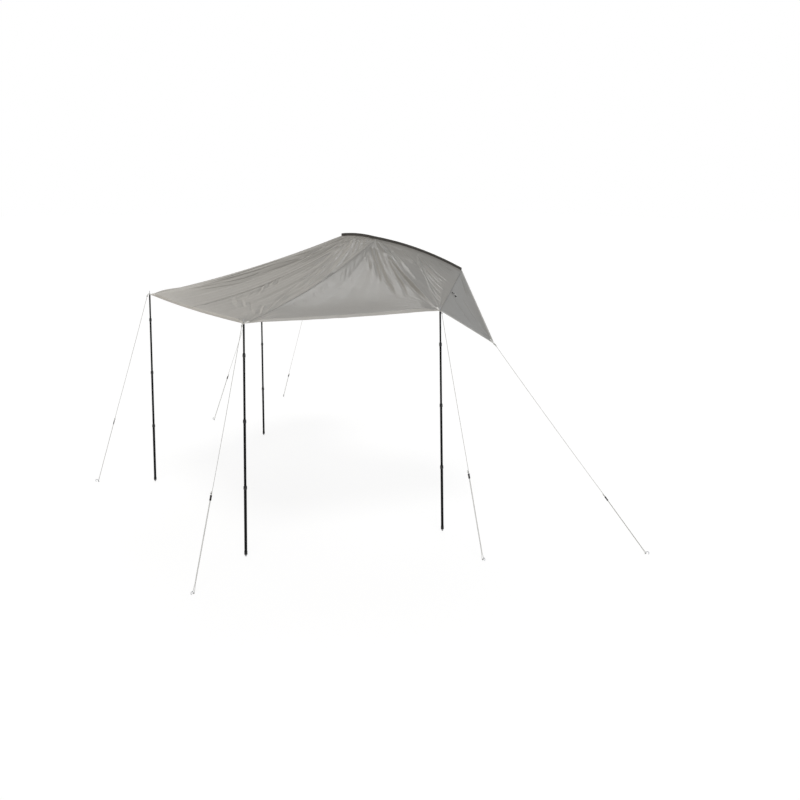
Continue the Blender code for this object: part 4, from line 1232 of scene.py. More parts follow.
def beside(patch, a, b, da, db, d, sign=1, turn=1):
    """Cloth at the distance d from an edge; (da, db) points away from it."""
    a, b, d = np.broadcast_arrays(np.asarray(a, float), np.asarray(b, float), np.asarray(d, float))
    (a0, a1), (b0, b1) = LIMITS[patch]
    f = BASE[patch]
    e = 1e-3
    here = f(a, b)
    D = (f(np.clip(a + da * e, a0, a1), np.clip(b + db * e, b0, b1)) - here) / e
    if da:
        along = f(a, np.clip(b + e, b0, b1)) - f(a, np.clip(b - e, b0, b1))
    else:
        along = f(np.clip(a + e, a0, a1), b) - f(np.clip(a - e, a0, a1), b)
    g = np.linalg.norm(np.cross(D, unit(along)), axis=-1)
    k = np.abs(d) / np.maximum(g, 1e-4)
    aa_, bb_ = np.clip(a + da * k, a0, a1), np.clip(b + db * k, b0, b1)
    return skin(patch, aa_ * turn if patch == "roof" else aa_, bb_, sign)


def across_centre(t, d):
    t, d = np.broadcast_arrays(t, d)
    half = roof_half(1.0, t)[..., 0]
    return skin("roof", d / half, t)


def across_roof_seam(sign):
    def f(t, d):
        t, d = np.broadcast_arrays(t, d)
        p1, n1 = beside("roof", np.ones_like(t), t, -1, 0, d, 1, sign)
        p2, n2 = beside("side", np.zeros_like(t), 1 - t, 1, 0, d, sign)
        w = smoothstep(0.5 + d / 0.004)[..., None]
        m = (d < 0)[..., None]
        return np.where(m, p1, p2), unit(n1 * (1 - w) + n2 * w)
    return f


def across_wing_seam(sign):
    def f(t, d):
        t, d = np.broadcast_arrays(t, d)
        p1, n1 = beside("side", 1 + t, np.ones_like(t), 0, -1, d, sign)
        p2, n2 = beside("wing", t, np.ones_like(t), 0, -1, d, sign)
        w = smoothstep(0.5 + d / 0.006)[..., None]
        m = (d < 0)[..., None]
        return np.where(m, p1, p2), unit(n1 * (1 - w) + n2 * w)
    return f


def edge_fn(kind, sign):
    def f(t, d):
        t, d = np.broadcast_arrays(t, d)
        inside = np.maximum(d, 0)
        if kind == "front":
            p, n = beside("roof", t, np.zeros_like(t), 0, 1, inside)
            q, _ = beside("roof", t, np.zeros_like(t), 0, 1, np.full_like(t, 1 * MM))
            e, _ = beside("roof", t, np.zeros_like(t), 0, 1, np.zeros_like(t))
        elif kind == "side":
            p, n = beside("side", t, np.ones_like(t), 0, -1, inside, sign)
            q, _ = beside("side", t, np.ones_like(t), 0, -1, np.full_like(t, 1 * MM), sign)
            e, _ = beside("side", t, np.ones_like(t), 0, -1, np.zeros_like(t), sign)
        elif kind == "low":
            p, n = beside("wing", np.zeros_like(t), t, 1, 0, inside, sign)
            q, _ = beside("wing", np.zeros_like(t), t, 1, 0, np.full_like(t, 1 * MM), sign)
            e, _ = beside("wing", np.zeros_like(t), t, 1, 0, np.zeros_like(t), sign)
        else:
            p, n = beside("wing", np.ones_like(t), t, -1, 0, inside, sign)
            q, _ = beside("wing", np.ones_like(t), t, -1, 0, np.full_like(t, 1 * MM), sign)
            e, _ = beside("wing", np.ones_like(t), t, -1, 0, np.zeros_like(t), sign)
        outward = unit(e - q)
        return p + outward * np.maximum(-d, 0)[..., None], n
    return f


def resample(fn, t0, t1, spacing, d=0.0):
    """Values of t evenly spaced along the line at offset d."""
    t = np.linspace(t0, t1, 400)
    p, _ = fn(t, np.full_like(t, d))
    s = np.concatenate([[0], np.cumsum(np.linalg.norm(np.diff(p, axis=0), axis=1))])
    return np.interp(np.linspace(0, s[-1], max(3, int(round(s[-1] / spacing)) + 1)), s, t), s[-1]


def band(shape, fn, t0, t1, profile, spacing=0.006, closed=False):
    t, length = resample(fn, t0, t1, spacing)
    prof = np.array(profile) * MM
    p, n = fn(t[:, None], prof[None, :, 0])
    P = p + n * prof[None, :, 1, None]
    add_loft(shape, P, close_n=closed, caps=closed)
    return length


def stitches(shape, fn, t0, t1, d, h, pitch=0.0056, half=0.0018, thick=0.00042):
    t, length = resample(fn, t0, t1, pitch, d)
    c, n = fn(t, np.full_like(t, d))
    tan = unit(np.gradient(c, axis=0))
    n = unit(n - tan * (n * tan).sum(1, keepdims=True))
    b = np.cross(tan, n)
    s = np.array([-1.0, -0.55, 0.55, 1.0]) * half
    rise = np.array([-0.5, 0.10, 0.10, -0.5]) * MM + h * MM
    rad = np.array([0.5, 1.0, 1.0, 0.5]) * thick
    th = np.arange(5) * 2 * np.pi / 5
    P = (c[:, None, None] + tan[:, None, None] * s[None, :, None, None] + n[:, None, None] * rise[None, :, None, None]
         + rad[None, :, None, None] * (np.cos(th)[None, None, :, None] * n[:, None, None]
                                      + np.sin(th)[None, None, :, None] * b[:, None, None]))
    N = len(t)
    f, _ = lattice(4, 5, close_n=True)
    faces = (np.arange(N)[:, None, None] * 20 + f[None]).reshape(-1, 4)
    base_uv = np.zeros((len(f), 4, 2))
    base_uv[..., 1] = (f // 5) * 0.0012
    base_uv[..., 0] = (f % 5) * 0.0004
    shape.add(P.reshape(-1, 3), [faces], [np.tile(base_uv, (N, 1, 1))])
    return N


seams, hems = Shape(), Shape()
seam_thread, hem_thread = Shape(), Shape()
lines = [(across_centre, 0.003, 0.995)]
for sign in (1, -1):
    lines.append((across_roof_seam(sign), 0.010, 0.972))
    lines.append((across_wing_seam(sign), 0.016, 0.994))
for fn, t0, t1 in lines:
    band(seams, fn, t0, t1, SEAM_PROFILE)
    for d, h in ((-4.5, 0.72), (4.5, 0.66)):
        stitches(seam_thread, fn, t0 + 0.002, t1 - 0.002, d * MM, h)
edges = [(edge_fn("front", 1), -0.986, 0.986)]
for sign in (1, -1):
    edges.append((edge_fn("side", sign), 0.010, 0.990))
    edges.append((edge_fn("low", sign), 0.045, 0.985))
    edges.append((edge_fn("up", sign), 0.045, 0.996))
for fn, t0, t1 in edges:
    band(hems, fn, t0, t1, HEM_PROFILE, 0.008, closed=True)
    stitches(hem_thread, fn, t0 + 0.003, t1 - 0.003, 17.8 * MM, 0.62)
    stitches(hem_thread, fn, t0 + 0.003, t1 - 0.003, 17.8 * MM, -0.62)
for shape, name, mat in ((seams, "canopy_felled_seams", MAT["seam"]), (hems, "canopy_hems", MAT["hem"]),
                         (seam_thread, "seam_stitching", MAT["thread"]), (hem_thread, "hem_stitching", MAT["thread"])):
    ob = shape.make(name, mat, "root", angle=None if "felled" in name else 50)
    print(name, len(ob.data.polygons), "faces")


# ============================================================== upper edge
def arch(t):
    t = np.asarray(t, float)
    return np.where((t <= 1)[..., None], peak_edge(np.clip(t, 0, 1)), side(2.0, np.clip(t - 1, 0, 1)))


knots_t = np.array([0.16, 0.55, 0.92, 1.10, 1.28, 1.46, 1.64, 1.82, 1.995])
half = arch(knots_t)
full = np.concatenate([flip(half[::-1], -1), half])
runs = np.gradient(full, axis=0)
runs[len(half) - 1:len(half) + 1] = vec(1, 0, 0)
back = unit(np.stack([-runs[:, 1], runs[:, 0], 0 * runs[:, 0]], -1))
base = full + Z * 0.0022 + back * 0.0006
base[len(half) - 1:len(half) + 1, 2] = half[0, 2] + 0.0022
low_line = curve_through(base, 0.006)
s_in = np.concatenate([[0], np.cumsum(np.linalg.norm(np.diff(low_line, axis=0), axis=1))])
key_s = [s_in[np.argmin(np.linalg.norm(low_line - q, axis=1))] for q in base]
back_line = unit(np.stack([np.interp(s_in, key_s, back[:, i]) for i in range(3)], -1))
# folded binding: a flat of two layers with a rounded bead along its top
prof = [(-3.4, 0.30), (-3.4, 2.70), (2.4, 2.55), (3.6, 2.20), (4.8, 2.55), (15.4, 2.60), (16.6, 2.25), (17.8, 2.60), (19.0, 2.45),
        (20.2, 2.50), (21.6, 2.95), (23.6, 3.00), (25.2, 2.55), (25.9, 1.50), (25.2, 0.45), (23.6, 0.02), (21.6, 0.05),
        (20.2, 0.50), (19.0, 0.55), (17.8, 0.40), (16.6, 0.75), (15.4, 0.40), (4.8, 0.45), (3.6, 0.80), (2.4, 0.45)]
prof = np.array(prof) * MM
wob = 0.00025 * np.sin(s_in * 2 * np.pi / 0.031) + 0.0002 * np.sin(s_in * 2 * np.pi / 0.083 + 1)
P = (low_line[:, None] + Z * prof[None, :, 0, None] + back_line[:, None] * (prof[None, :, 1, None] + wob[:, None, None] * 0.6))
tape = Shape()
add_loft(tape, P, close_n=True, caps=True)
edge_tape = tape.make("upper_edge_binding", MAT["tape"], "root", angle=60)
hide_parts("upper_edge_tape")
tape_thread = Shape()


def on_tape(height, face):
    def f(t, d):
        i = np.clip(np.asarray(t, float), 0, 1) * s_in[-1]
        p = np.stack([np.interp(i, s_in, low_line[:, k]) for k in range(3)], -1)
        b = unit(np.stack([np.interp(i, s_in, back_line[:, k]) for k in range(3)], -1))
        return p + Z * height + b * (0.0027 if face > 0 else 0.0003), b * face
    return f


for height in (0.0036, 0.0166):
    for face in (-1, 1):
        stitches(tape_thread, on_tape(height, face), 0.004, 0.996, 0.0, -0.35, pitch=0.0060)
ob = tape_thread.make("upper_edge_stitching", MAT["thread"], "root", angle=50)


# ============================================================== corner tabs and grommets
def plane_at(corner, inward, seek):
    """Local axes of the cloth at a corner, and its height over that plane."""
    n0 = unit(seek)
    e1 = unit(inward - n0 * np.dot(inward, n0))
    probe = []
    for x in (0.020, 0.045, 0.070):
        for y in (-0.008, 0.0, 0.008):
            q = corner + e1 * x + np.cross(n0, e1) * y
            hit, nrm, _, _ = cloth_tree.ray_cast(Vector(q + n0 * 0.05), Vector(-n0), 0.1)
            if hit is not None:
                nn = np.array(nrm)
                probe.append(nn if nn @ n0 > 0 else -nn)
    if probe:
        n0 = unit(np.mean(probe, axis=0))
        e1 = unit(inward - n0 * np.dot(inward, n0))
    e2 = np.cross(n0, e1)

    def height(x, y):
        x, y = np.broadcast_arrays(np.asarray(x, float), np.asarray(y, float))
        out = np.zeros(x.shape)
        for i in np.ndindex(x.shape):
            xx = max(float(x[i]), 0.018)
            best = None
            for shrink in (1.0, 0.8, 0.6, 0.4, 0.2, 0.0):
                q = corner + e1 * xx + e2 * float(y[i]) * shrink
                hit, _, _, _ = cloth_tree.ray_cast(Vector(q + n0 * 0.05), Vector(-n0), 0.1)
                if hit is not None:
                    best = float((np.array(hit) - corner) @ n0)
                    break
            out[i] = (best or 0.0) * smoothstep(float(x[i]) / 0.018)
        return out
    return n0, e1, e2, height


def corner_tab(name, corner, inward, seek, length=0.064, wide=0.0125, nose=0.0165, hole=0.0056, grommet=None):
    """Folded webbing sewn over the corner, with a hole for the grommet."""
    n0, e1, e2, height = plane_at(corner, inward, seek)
    th = np.linspace(0, 2 * np.pi, 49)[:-1]
    # outline of the tab and of its hole, both by angle round the grommet
    ring_out = []
    for a in th:
        c, s = math.cos(a), math.sin(a)
        if c <= 0:
            # rounded nose, a little wider than the strap
            ring_out.append((nose * c, wide * s if abs(s) > 0.98 else s * (wide + (nose - wide) * abs(c))))
        else:
            t = min(0.022 / max(c, 1e-6), wide / max(abs(s), 1e-6))
            ring_out.append((t * c, t * s))
    ring_out = np.array(ring_out)
    k = np.linspace(0, 1, 6)[:, None, None]
    ring_in = np.stack([np.cos(th), np.sin(th)], -1) * hole
    head = ring_in[None] * (1 - k) + ring_out[None] * k
    strap_x = np.linspace(0.022, length, 22)
    strap_y = np.linspace(-wide, wide, 13)
    sh = Shape()
    for face in (1, -1):
        t_head = 0.0013
        hx, hy = head[..., 0], head[..., 1]
        hh = height(hx, hy) + face * (t_head + 0.0008 * smoothstep((hx - 0.004) / 0.014))
        edge = np.minimum(1.0, (np.linalg.norm(ring_out[None] - head, axis=-1) + 0.0002) / 0.0008)
        Ph = corner + hx[..., None] * e1 + hy[..., None] * e2 + (hh - face * (1 - edge) * 0.0006)[..., None] * n0
        add_loft(sh, Ph, close_n=True, caps=False)
        X, Y = np.meshgrid(strap_x, strap_y, indexing="ij")
        rim = np.minimum(np.minimum(wide - np.abs(Y), length - X) / 0.0010 + 0.2, 1.0)
        end = (X > length - 0.0045) * 0.0004
        S = height(X, Y) + face * (0.0021 - (1 - rim) * 0.0009 + end)
        add_loft(sh, corner + X[..., None] * e1 + Y[..., None] * e2 + S[..., None] * n0, close_n=False, caps=False)
        # side and end walls down to the cloth
        for y in (-wide, wide):
            top = S[:, 0 if y < 0 else -1]
            low = height(strap_x, np.full_like(strap_x, y))
            wall = np.stack([corner + strap_x[:, None] * e1 + y * e2 + top[:, None] * n0,
                             corner + strap_x[:, None] * e1 + y * e2 + low[:, None] * n0], 1)
            add_loft(sh, wall, close_n=False, caps=False)
        top, low = S[-1], height(np.full_like(strap_y, length), strap_y)
        wall = np.stack([corner + length * e1 + strap_y[:, None] * e2 + top[:, None] * n0,
                         corner + length * e1 + strap_y[:, None] * e2 + low[:, None] * n0], 1)
        add_loft(sh, wall, close_n=False, caps=False)
    # outer and inner rims between the two faces
    for ring in (ring_out, ring_in):
        hx, hy = ring[:, 0], ring[:, 1]
        h0 = height(hx, hy)
        a = 0.0013 + 0.0008 * smoothstep((hx - 0.004) / 0.014) - 0.0006 * 0.75
        P = np.stack([corner + hx[:, None] * e1 + hy[:, None] * e2 + (h0 + s * a)[:, None] * n0
                      for s in (-1, -0.5, 0, 0.5, 1)], 0)
        add_loft(sh, P, close_n=True, caps=False)
    tab = sh.make(name + "_corner_tab", MAT["web"], "root", angle=50)
    bm = bmesh.new()
    bm.from_mesh(tab.data)
    bmesh.ops.remove_doubles(bm, verts=bm.verts, dist=0.00005)
    bmesh.ops.recalc_face_normals(bm, faces=bm.faces)
    bm.to_mesh(tab.data)
    bm.free()

    # box stitch on the strap
    sh = Shape()
    x0, x1, y0 = 0.027, length - 0.005, wide - 0.003
    legs = [((x0, -y0), (x1, -y0)), ((x1, -y0), (x1, y0)), ((x1, y0), (x0, y0)), ((x0, y0), (x0, -y0)),
            ((x0, -y0), (x1, y0)), ((x0, y0), (x1, -y0))]
    for face in (1, -1):
        for a, b in legs:
            a, b = np.array(a), np.array(b)

            def on(t, d, a=a, b=b, face=face):
                q = a + (b - a) * np.asarray(t, float)[..., None]
                h = height(q[..., 0], q[..., 1]) + face * 0.0021
                return (corner + q[..., :1] * e1 + q[..., 1:] * e2 + h[..., None] * n0,
                        np.broadcast_to(n0 * face, (*q.shape[:-1], 3)))
            m = max(3, int(np.linalg.norm(b - a) / 0.0032))
            t = np.linspace(0.04, 0.96, m)
            c, nn = on(t, 0)
            tan = unit(np.gradient(c, axis=0))
            bb_ = np.cross(tan, nn)
            s = np.array([-1, -0.55, 0.55, 1]) * 0.0012
            rise = np.array([-0.4, 0.15, 0.15, -0.4]) * MM
            rad = np.array([0.5, 1, 1, 0.5]) * 0.00036
            ph = np.arange(5) * 2 * np.pi / 5
            for j in range(m):
                P = (c[j] + tan[j] * s[:, None, None] + nn[j] * rise[:, None, None]
                     + rad[:, None, None] * (np.cos(ph)[None, :, None] * nn[j] + np.sin(ph)[None, :, None] * bb_[j]))
                add_loft(sh, P, close_n=True, caps=True)
    st = sh.make(name + "_tab_stitching", MAT["thread"], "root", angle=50)

    # grommet: a rolled ring on each face of the tab and the barrel between
    m = Matrix((e1, e2, n0)).transposed().to_4x4()
    m.translation = Vector(corner)
    sh = Shape()
    ro = 0.0128
    prof = [(0.0050, -0.0018), (0.0054, -0.0027), (0.0068, -0.0031), (0.0090, -0.0029), (0.0112, -0.0024), (ro, -0.0016),
            (ro - 0.0004, -0.0012), (0.0110, -0.0012), (0.0058, -0.0012), (0.0056, 0.0012), (0.0110, 0.0012),
            (ro - 0.0004, 0.0012), (ro, 0.0016), (0.0112, 0.0024), (0.0090, 0.0029), (0.0068, 0.0031), (0.0054, 0.0027),
            (0.0050, 0.0018)]
    add_turned(sh, prof, m, 48, closed=True)
    gr = sh.make(name + "_grommet", MAT["eyelet"], "root", angle=50)
    if grommet:
        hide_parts(grommet)


for name, (foot, top, sign) in CORNERS.items():
    c = flip(vec(*top), sign)
    corner_tab(name, c, flip(C, sign) - c, flip(normal("side", 1.0, 0.95) if "inner" in name else normal("roof", 0.98, 0.03), sign),
               grommet=name + "_eyelet")
for name, sign in (("front_wing", 1), ("rear_wing", -1)):
    c = flip(W, sign)
    mid = flip((T4 + B) / 2 - W, sign)
    corner_tab(name, c - unit(mid) * 0.006, mid, flip(normal("wing", 0.5, 0.3), sign), length=0.070, wide=0.0110, nose=0.0135,
               hole=0.0050)


# ============================================================== poles
def pole_matrix(foot, top):
    f, t = vec(*foot, 0), vec(*top)
    u = unit(t - f)
    x = unit(np.cross(vec(0, 1, 0), u))
    y = np.cross(u, x)
    m = Matrix((x, y, u)).transposed().to_4x4()
    length = float(np.linalg.norm(t - f))
    m.translation = Vector(f)
    return m, length


def place(shape, name, mat, body, m, node, angle=40):
    """The piece with its own origin at the pole's foot, so its material does too."""
    ob = shape.make(name, mat, None, angle=angle)
    ob.matrix_world = m
    bpy.context.view_layer.update()
    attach(ob, body)
    if node:
        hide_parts(node)
    return ob


def tube_profile(r, z0, z1, lip=0.0006):
    """Drawn tube with rounded ends."""
    w = WALL
    out = [(r - w, z0 + 0.0006), (r - w + 0.0003, z0 + 0.0001), (r - 0.0003, z0 + 0.0001), (r, z0 + 0.0006)]
    for z in np.linspace(z0 + 0.02, z1 - 0.004, 14):
        out.append((r, z))
    out += [(r, z1 - 0.0006), (r - 0.0003, z1 - 0.0001), (r - w + 0.0003, z1 - 0.0001), (r - w, z1 - 0.0006)]
    return out


I4 = Matrix.Identity(4)
for name, (foot, top, sign) in CORNERS.items():
    foot, top = (foot[0] * sign, foot[1]), (top[0] * sign, top[1], top[2])
    m, L = pole_matrix(foot, top)
    # bottom, lower and upper tubes
    for piece, r, z0, z1, body in (("bottom_tube", R_BOTTOM, 0.0223, Z_BOTTOM_END, "bottom"),
                                   ("lower_tube", R_LOWER, Z_BOTTOM_END - OVERLAP, Z_LOWER_END, "lower"),
                                   ("upper_tube", R_UPPER, Z_LOWER_END - OVERLAP, Z_UPPER_END, "upper")):
        sh = Shape()
        add_turned(sh, tube_profile(r, z0, z1), I4, 40, closed=True)
        place(sh, "%s_%s_shell" % (name, piece), MAT["tube"], "%s_%s" % (name, body), m, "%s_%s" % (name, piece))
    # top tube with its end plug and pin
    z0, zs = Z_UPPER_END - TOP_TUBE_TUCK, L - SHOULDER_DROP
    sh = Shape()
    ri = R_TOP - WALL
    prof = [(ri, z0 + 0.0006), (ri + 0.0003, z0 + 0.0001), (R_TOP - 0.0003, z0 + 0.0001), (R_TOP, z0 + 0.0006)]
    prof += [(R_TOP, z) for z in np.linspace(z0 + 0.02, zs - 0.030, 16)]
    prof += [(R_TOP, zs - 0.0190), (R_TOP - 0.0004, zs - 0.0186), (R_TOP - 0.0004, zs - 0.0176), (R_TOP, zs - 0.0172),
             (R_TOP, zs - 0.0040), (R_TOP - 0.0003, zs - 0.0029), (0.0066, zs - 0.0010), (0.0060, zs - 0.0002), (0, zs - 0.0002)]
    prof = [(0, zs - 0.030), (ri, zs - 0.030)] + prof
    add_turned(sh, prof, I4, 40)
    place(sh, name + "_top_tube_shell", MAT["tube"], name + "_top", m, name + "_top_tube")
    sh = Shape()
    zt = L + PIN_RISE
    prof = [(0, zt), (0.0009, zt - 0.0002), (0.0016, zt - 0.0010), (0.0021, zt - 0.0026), (0.0025, zt - 0.0058), (PIN_R, zt - 0.0075),
            (PIN_R, zs + 0.0030), (0.0030, zs + 0.0022), (0.0042, zs + 0.0016), (0.0043, zs + 0.0002), (0.0040, zs - 0.0002),
            (0, zs - 0.0002)]
    add_turned(sh, prof, I4, 32)
    place(sh, name + "_pole_pin", MAT["pin"], name + "_top", m, None)
    # twist locks: a ribbed grip below, a smooth cone above
    for lock, z, rb, rs in (("low", Z_BOTTOM_END, R_BOTTOM, R_LOWER), ("mid", Z_LOWER_END, R_LOWER, R_UPPER),
                            ("high", Z_UPPER_END, R_UPPER, R_TOP)):
        b0, b1, ro = z - COLLAR_BELOW, z + COLLAR_ABOVE, rb + 0.0036
        g = 0.0005
        prof = [(rb + g, b0 + 0.0004), (rb + g + 0.0003, b0), (rb + 0.0012, b0), (rb + 0.0022, b0 + 0.0010), (ro - 0.0008, b0 + 0.0032)]
        prof += [(ro - 0.0002 - 0.0004 * abs(k) ** 2.2, z + 0.0016 + 0.0098 * k) for k in np.linspace(-1, 1, 13)]
        prof += [(ro - 0.0012, z + 0.0122), (ro - 0.0013, z + 0.0131), (ro - 0.0006, z + 0.0138), (ro - 0.0009, z + 0.0160),
                 (ro - 0.0018, z + 0.0186), (rs + 0.0030, b1 - 0.0016), (rs + 0.0022, b1 - 0.0004), (rs + 0.0014, b1),
                 (rs + g + 0.0002, b1), (rs + g, b1 - 0.0004), (rs + g, z + 0.0008), (rb + g, z + 0.0004)]
        za, zb = z - 0.0086, z + 0.0118

        def ribs(th, zz, r, za=za, zb=zb, ro=ro):
            if r < ro - 0.0007 or not za <= zz <= zb:
                return np.zeros_like(th)
            ends = min(1.0, (zz - za) / 0.0025, (zb - zz) / 0.0025)
            return -0.00055 * ends * (0.5 - 0.5 * np.cos(18 * th)) ** 0.6
        sh = Shape()
        add_turned(sh, prof, I4, 108, closed=True, relief=ribs)
        place(sh, "%s_twist_lock_%s" % (name, lock), MAT["lock"], "%s_lock_%s" % (name, lock), m,
              "%s_collar_%s" % (name, lock), angle=50)
    # foot: ringed boot pushed over the tube, on a narrow pale tip
    rb = R_BOTTOM
    ring = [(rb + 0.0003, 0.0221), (rb + 0.0003, 0.0496), (rb + 0.0005, 0.0500), (rb + 0.0013, 0.0500), (rb + 0.0016, 0.0496),
            (rb + 0.0016, 0.0466), (rb + 0.0010, 0.0458), (rb + 0.0010, 0.0450), (rb + 0.0016, 0.0442)]
    for k in range(3):
        zz = 0.0352 - k * 0.0036
        ring += [(rb + 0.0017, zz), (rb + 0.0011, zz - 0.0007), (rb + 0.0011, zz - 0.0015), (rb + 0.0017, zz - 0.0022)]
    ring += [(rb + 0.0018, 0.0212), (rb + 0.0016, 0.0194), (rb + 0.0008, 0.0180), (rb - 0.0012, 0.0172), (0.0094, 0.0168), (0, 0.0168)]
    ring = [(0, 0.0221)] + ring
    sh = Shape()
    add_turned(sh, ring, I4, 48)
    place(sh, name + "_foot_boot", MAT["foot"], name + "_bottom", m, name + "_foot")
    sole = [(0, 0.0170), (0.0092, 0.0170), (0.0092, 0.0158), (0.0086, 0.0154), (0.0085, 0.0122), (0.0079, 0.0116), (0.0079, 0.0106),
            (0.0084, 0.0100), (0.0083, 0.0068), (0.0077, 0.0062), (0.0077, 0.0052), (0.0081, 0.0046), (0.0078, 0.0018), (0.0068, 0.0004),
            (0.0056, 0.0), (0.0040, 0.0), (0.0037, 0.0009), (0.0018, 0.0009), (0, 0.0009)]
    sh = Shape()
    add_turned(sh, sole, I4, 40)
    place(sh, name + "_foot_tip", MAT["sole"], name + "_bottom", m, None)


# ============================================================== runners and pegs
def runner_shape():
    """Half width, half thickness and half length, and the stations along the bar."""
    w, t, h = RUNNER_W / 2, RUNNER_T / 2, RUNNER_L / 2
    return np.linspace(0, 2 * np.pi, 64, endpoint=False), np.linspace(-h, h, 61), w, t, h


def make_runner(name, m):
    th, zs_, w, t, h = runner_shape()
    zs_ = np.unique(np.concatenate([zs_, [-h * 0.99, -h * 0.97, h * 0.97, h * 0.99]]))
    c, s = np.cos(th), np.sin(th)
    rows = []
    for z in zs_:
        e = abs(z) / h
        inset = 0.0014 * max(0.0, (e - 0.94) / 0.06) ** 2
        waist = 0.0013 * (1 - smoothstep(abs(z) / 0.014))
        a, b = w - inset - waist, t - inset
        x = a * np.sign(c) * np.abs(c) ** 0.42
        y = b * np.sign(s) * np.abs(s) ** 0.50
        grip = 0.00032 * (0.5 - 0.5 * math.cos(2 * math.pi * z / 0.0036)) * (abs(z) < 0.0152)
        y = y - np.sign(y) * grip * smoothstep((np.abs(y) / b - 0.80) / 0.15)
        rows.append(np.stack([x, y, np.full_like(x, z)], -1))
    sh = Shape()
    add_loft(sh, np.array(rows), close_n=True, caps=True)
    ob = sh.make(name + "_line_runner", MAT["runner"], None, angle=None)
    for k in (-1, 1):
        cs = Shape()
        prof = [(0, -h * 1.4), (0.0036, -h * 1.4), (0.0036, -h - 0.0004), (0.0024, -h + 0.0014), (0.0024, h - 0.0014),
                (0.0036, h + 0.0004), (0.0036, h * 1.4), (0, h * 1.4)]
        add_turned(cs, prof, Matrix.Translation((STRAND * k, 0, 0)), 28)
        cutter = cs.make("cutter", MAT["runner"], None, angle=None)
        bo = ob.modifiers.new("hole", "BOOLEAN")
        bo.operation = "DIFFERENCE"
        bo.solver = "EXACT"
        bo.object = cutter
        bpy.context.view_layer.update()
        dg = bpy.context.evaluated_depsgraph_get()
        done = bpy.data.meshes.new_from_object(ob.evaluated_get(dg))
        ob.modifiers.clear()
        ob.data = done
        bpy.data.objects.remove(cutter)
    ob.data.shade_smooth()
    ob.data.set_sharp_from_angle(angle=math.radians(38))
    ob.matrix_world = m
    bpy.context.view_layer.update()
    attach(ob, name + "_runner_slide")
    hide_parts(name + "_runner")


for name, g in GUYS.items():
    cross, run = g["cross"], g["run"]
    m = Matrix((cross, np.cross(run, cross), run)).transposed().to_4x4()
    m.translation = Vector(g["c0"] + run * g["d"])
    make_runner(name, m)

    ground, shank, out = g["ground"], g["shank"], g["out"]
    tip, top_ = ground - shank * PEG_SHANK, ground + shank * 0.026
    sd = unit(np.cross(cross, shank))
    if sd @ out < 0:
        sd = -sd
    centre = top_ + sd * HOOK_R
    path = [tip + shank * z for z in (0.0, 0.0010, 0.003, 0.006, 0.010, 0.014, 0.020)]
    path += [tip + shank * z for z in np.linspace(0.03, PEG_SHANK + 0.020, 24)]
    path += [centre - sd * HOOK_R * math.cos(a) + shank * HOOK_R * math.sin(a)
             for a in np.radians(np.linspace(0, 205, 32))]
    end_dir = unit(path[-1] - path[-2])
    path += [path[-1] + end_dir * z for z in (0.0010, 0.0018, 0.0024)]
    rad = np.full(len(path), PEG_R)
    rad[:7] = np.array([0.06, 0.22, 0.45, 0.66, 0.84, 0.95, 1.0]) * PEG_R
    rad[-4:] = np.array([1.0, 0.94, 0.74, 0.35]) * PEG_R
    sh = Shape()
    add_tube(sh, path, rad, 20)
    ob = sh.make(name + "_steel_peg", MAT["peg"], "root", angle=50)
    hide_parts(name + "_peg")

# ============================================================== wing toggles
def toggle(name, sign):
    a = on_cloth("wing", 450.9, 292.1)
    b = on_cloth("wing", 454.3, 294.8)
    mid = (a + b) / 2
    n = normal("wing", 0.55, 0.75)
    d = unit((b - a) - n * ((b - a) @ n))
    e = np.cross(n, d)
    lift = mid + n * 0.0085
    sh = Shape()
    zz = np.linspace(-1, 1, 25)
    path = [flip(lift + d * 0.019 * z, sign) for z in zz]
    r = 0.0048 * np.sqrt(np.maximum(1 - np.abs(zz) ** 5, 0.02)) * (1 - 0.28 * np.exp(-(zz / 0.22) ** 2))
    add_tube(sh, path, r, 24)
    ob = sh.make(name + "_roll_toggle", MAT["toggle"], "root", angle=50)
    # cord loop that ties the toggle to the cloth, and its pale knot
    sh = Shape()
    loop = [mid - d * 0.004 - n * 0.001, mid - d * 0.003 + n * 0.004 + e * 0.004, lift + e * 0.0052, lift + n * 0.0052,
            lift - e * 0.0052, mid + d * 0.003 + n * 0.004 - e * 0.004, mid + d * 0.006 - n * 0.001]
    add_tube(sh, curve_through([flip(q, sign) for q in loop], 0.0015), 0.0012, 10)
    tail = [lift + d * 0.017, lift + d * 0.026 + e * 0.002, lift + d * 0.036 - n * 0.003, mid + d * 0.051 + n * 0.003]
    add_tube(sh, curve_through([flip(q, sign) for q in tail], 0.0015), 0.0018, 10)
    knot_at = flip(mid + d * 0.052 + n * 0.0035, sign)
    t = np.linspace(0, 2 * np.pi, 60, endpoint=False)
    dd, ee, nn = flip(d, sign), flip(e, sign), flip(n, sign)
    K = (knot_at + np.outer((np.sin(t) + 2 * np.sin(2 * t)) * 0.0016, dd) + np.outer((np.cos(t) - 2 * np.cos(2 * t)) * 0.0013, ee)
         + np.outer(-np.sin(3 * t) * 0.0012, nn))
    add_tube(sh, K, 0.0013, 10, closed=True)
    ob = sh.make(name + "_toggle_cord", MAT["web"], "root", angle=None)
    # the stop on the tail of that cord, a ribbed barrel
    at = on_cloth("wing", 455.3, 296.5) + n * 0.0065
    sh = Shape()
    zz = np.linspace(-1, 1, 33)
    r = 0.0062 * np.sqrt(np.maximum(1 - 0.45 * zz ** 2, 0.02)) * np.minimum(1, (1 - np.abs(zz)) * 9 + 0.30) * (1 + 0.035 * np.cos(zz * 22))
    add_tube(sh, [flip(at + d * 0.0075 * z, sign) for z in zz], r, 28)
    ob = sh.make(name + "_cord_stop", MAT["toggle"], "root", angle=50)


toggle("front_wing", 1)
toggle("rear_wing", -1)
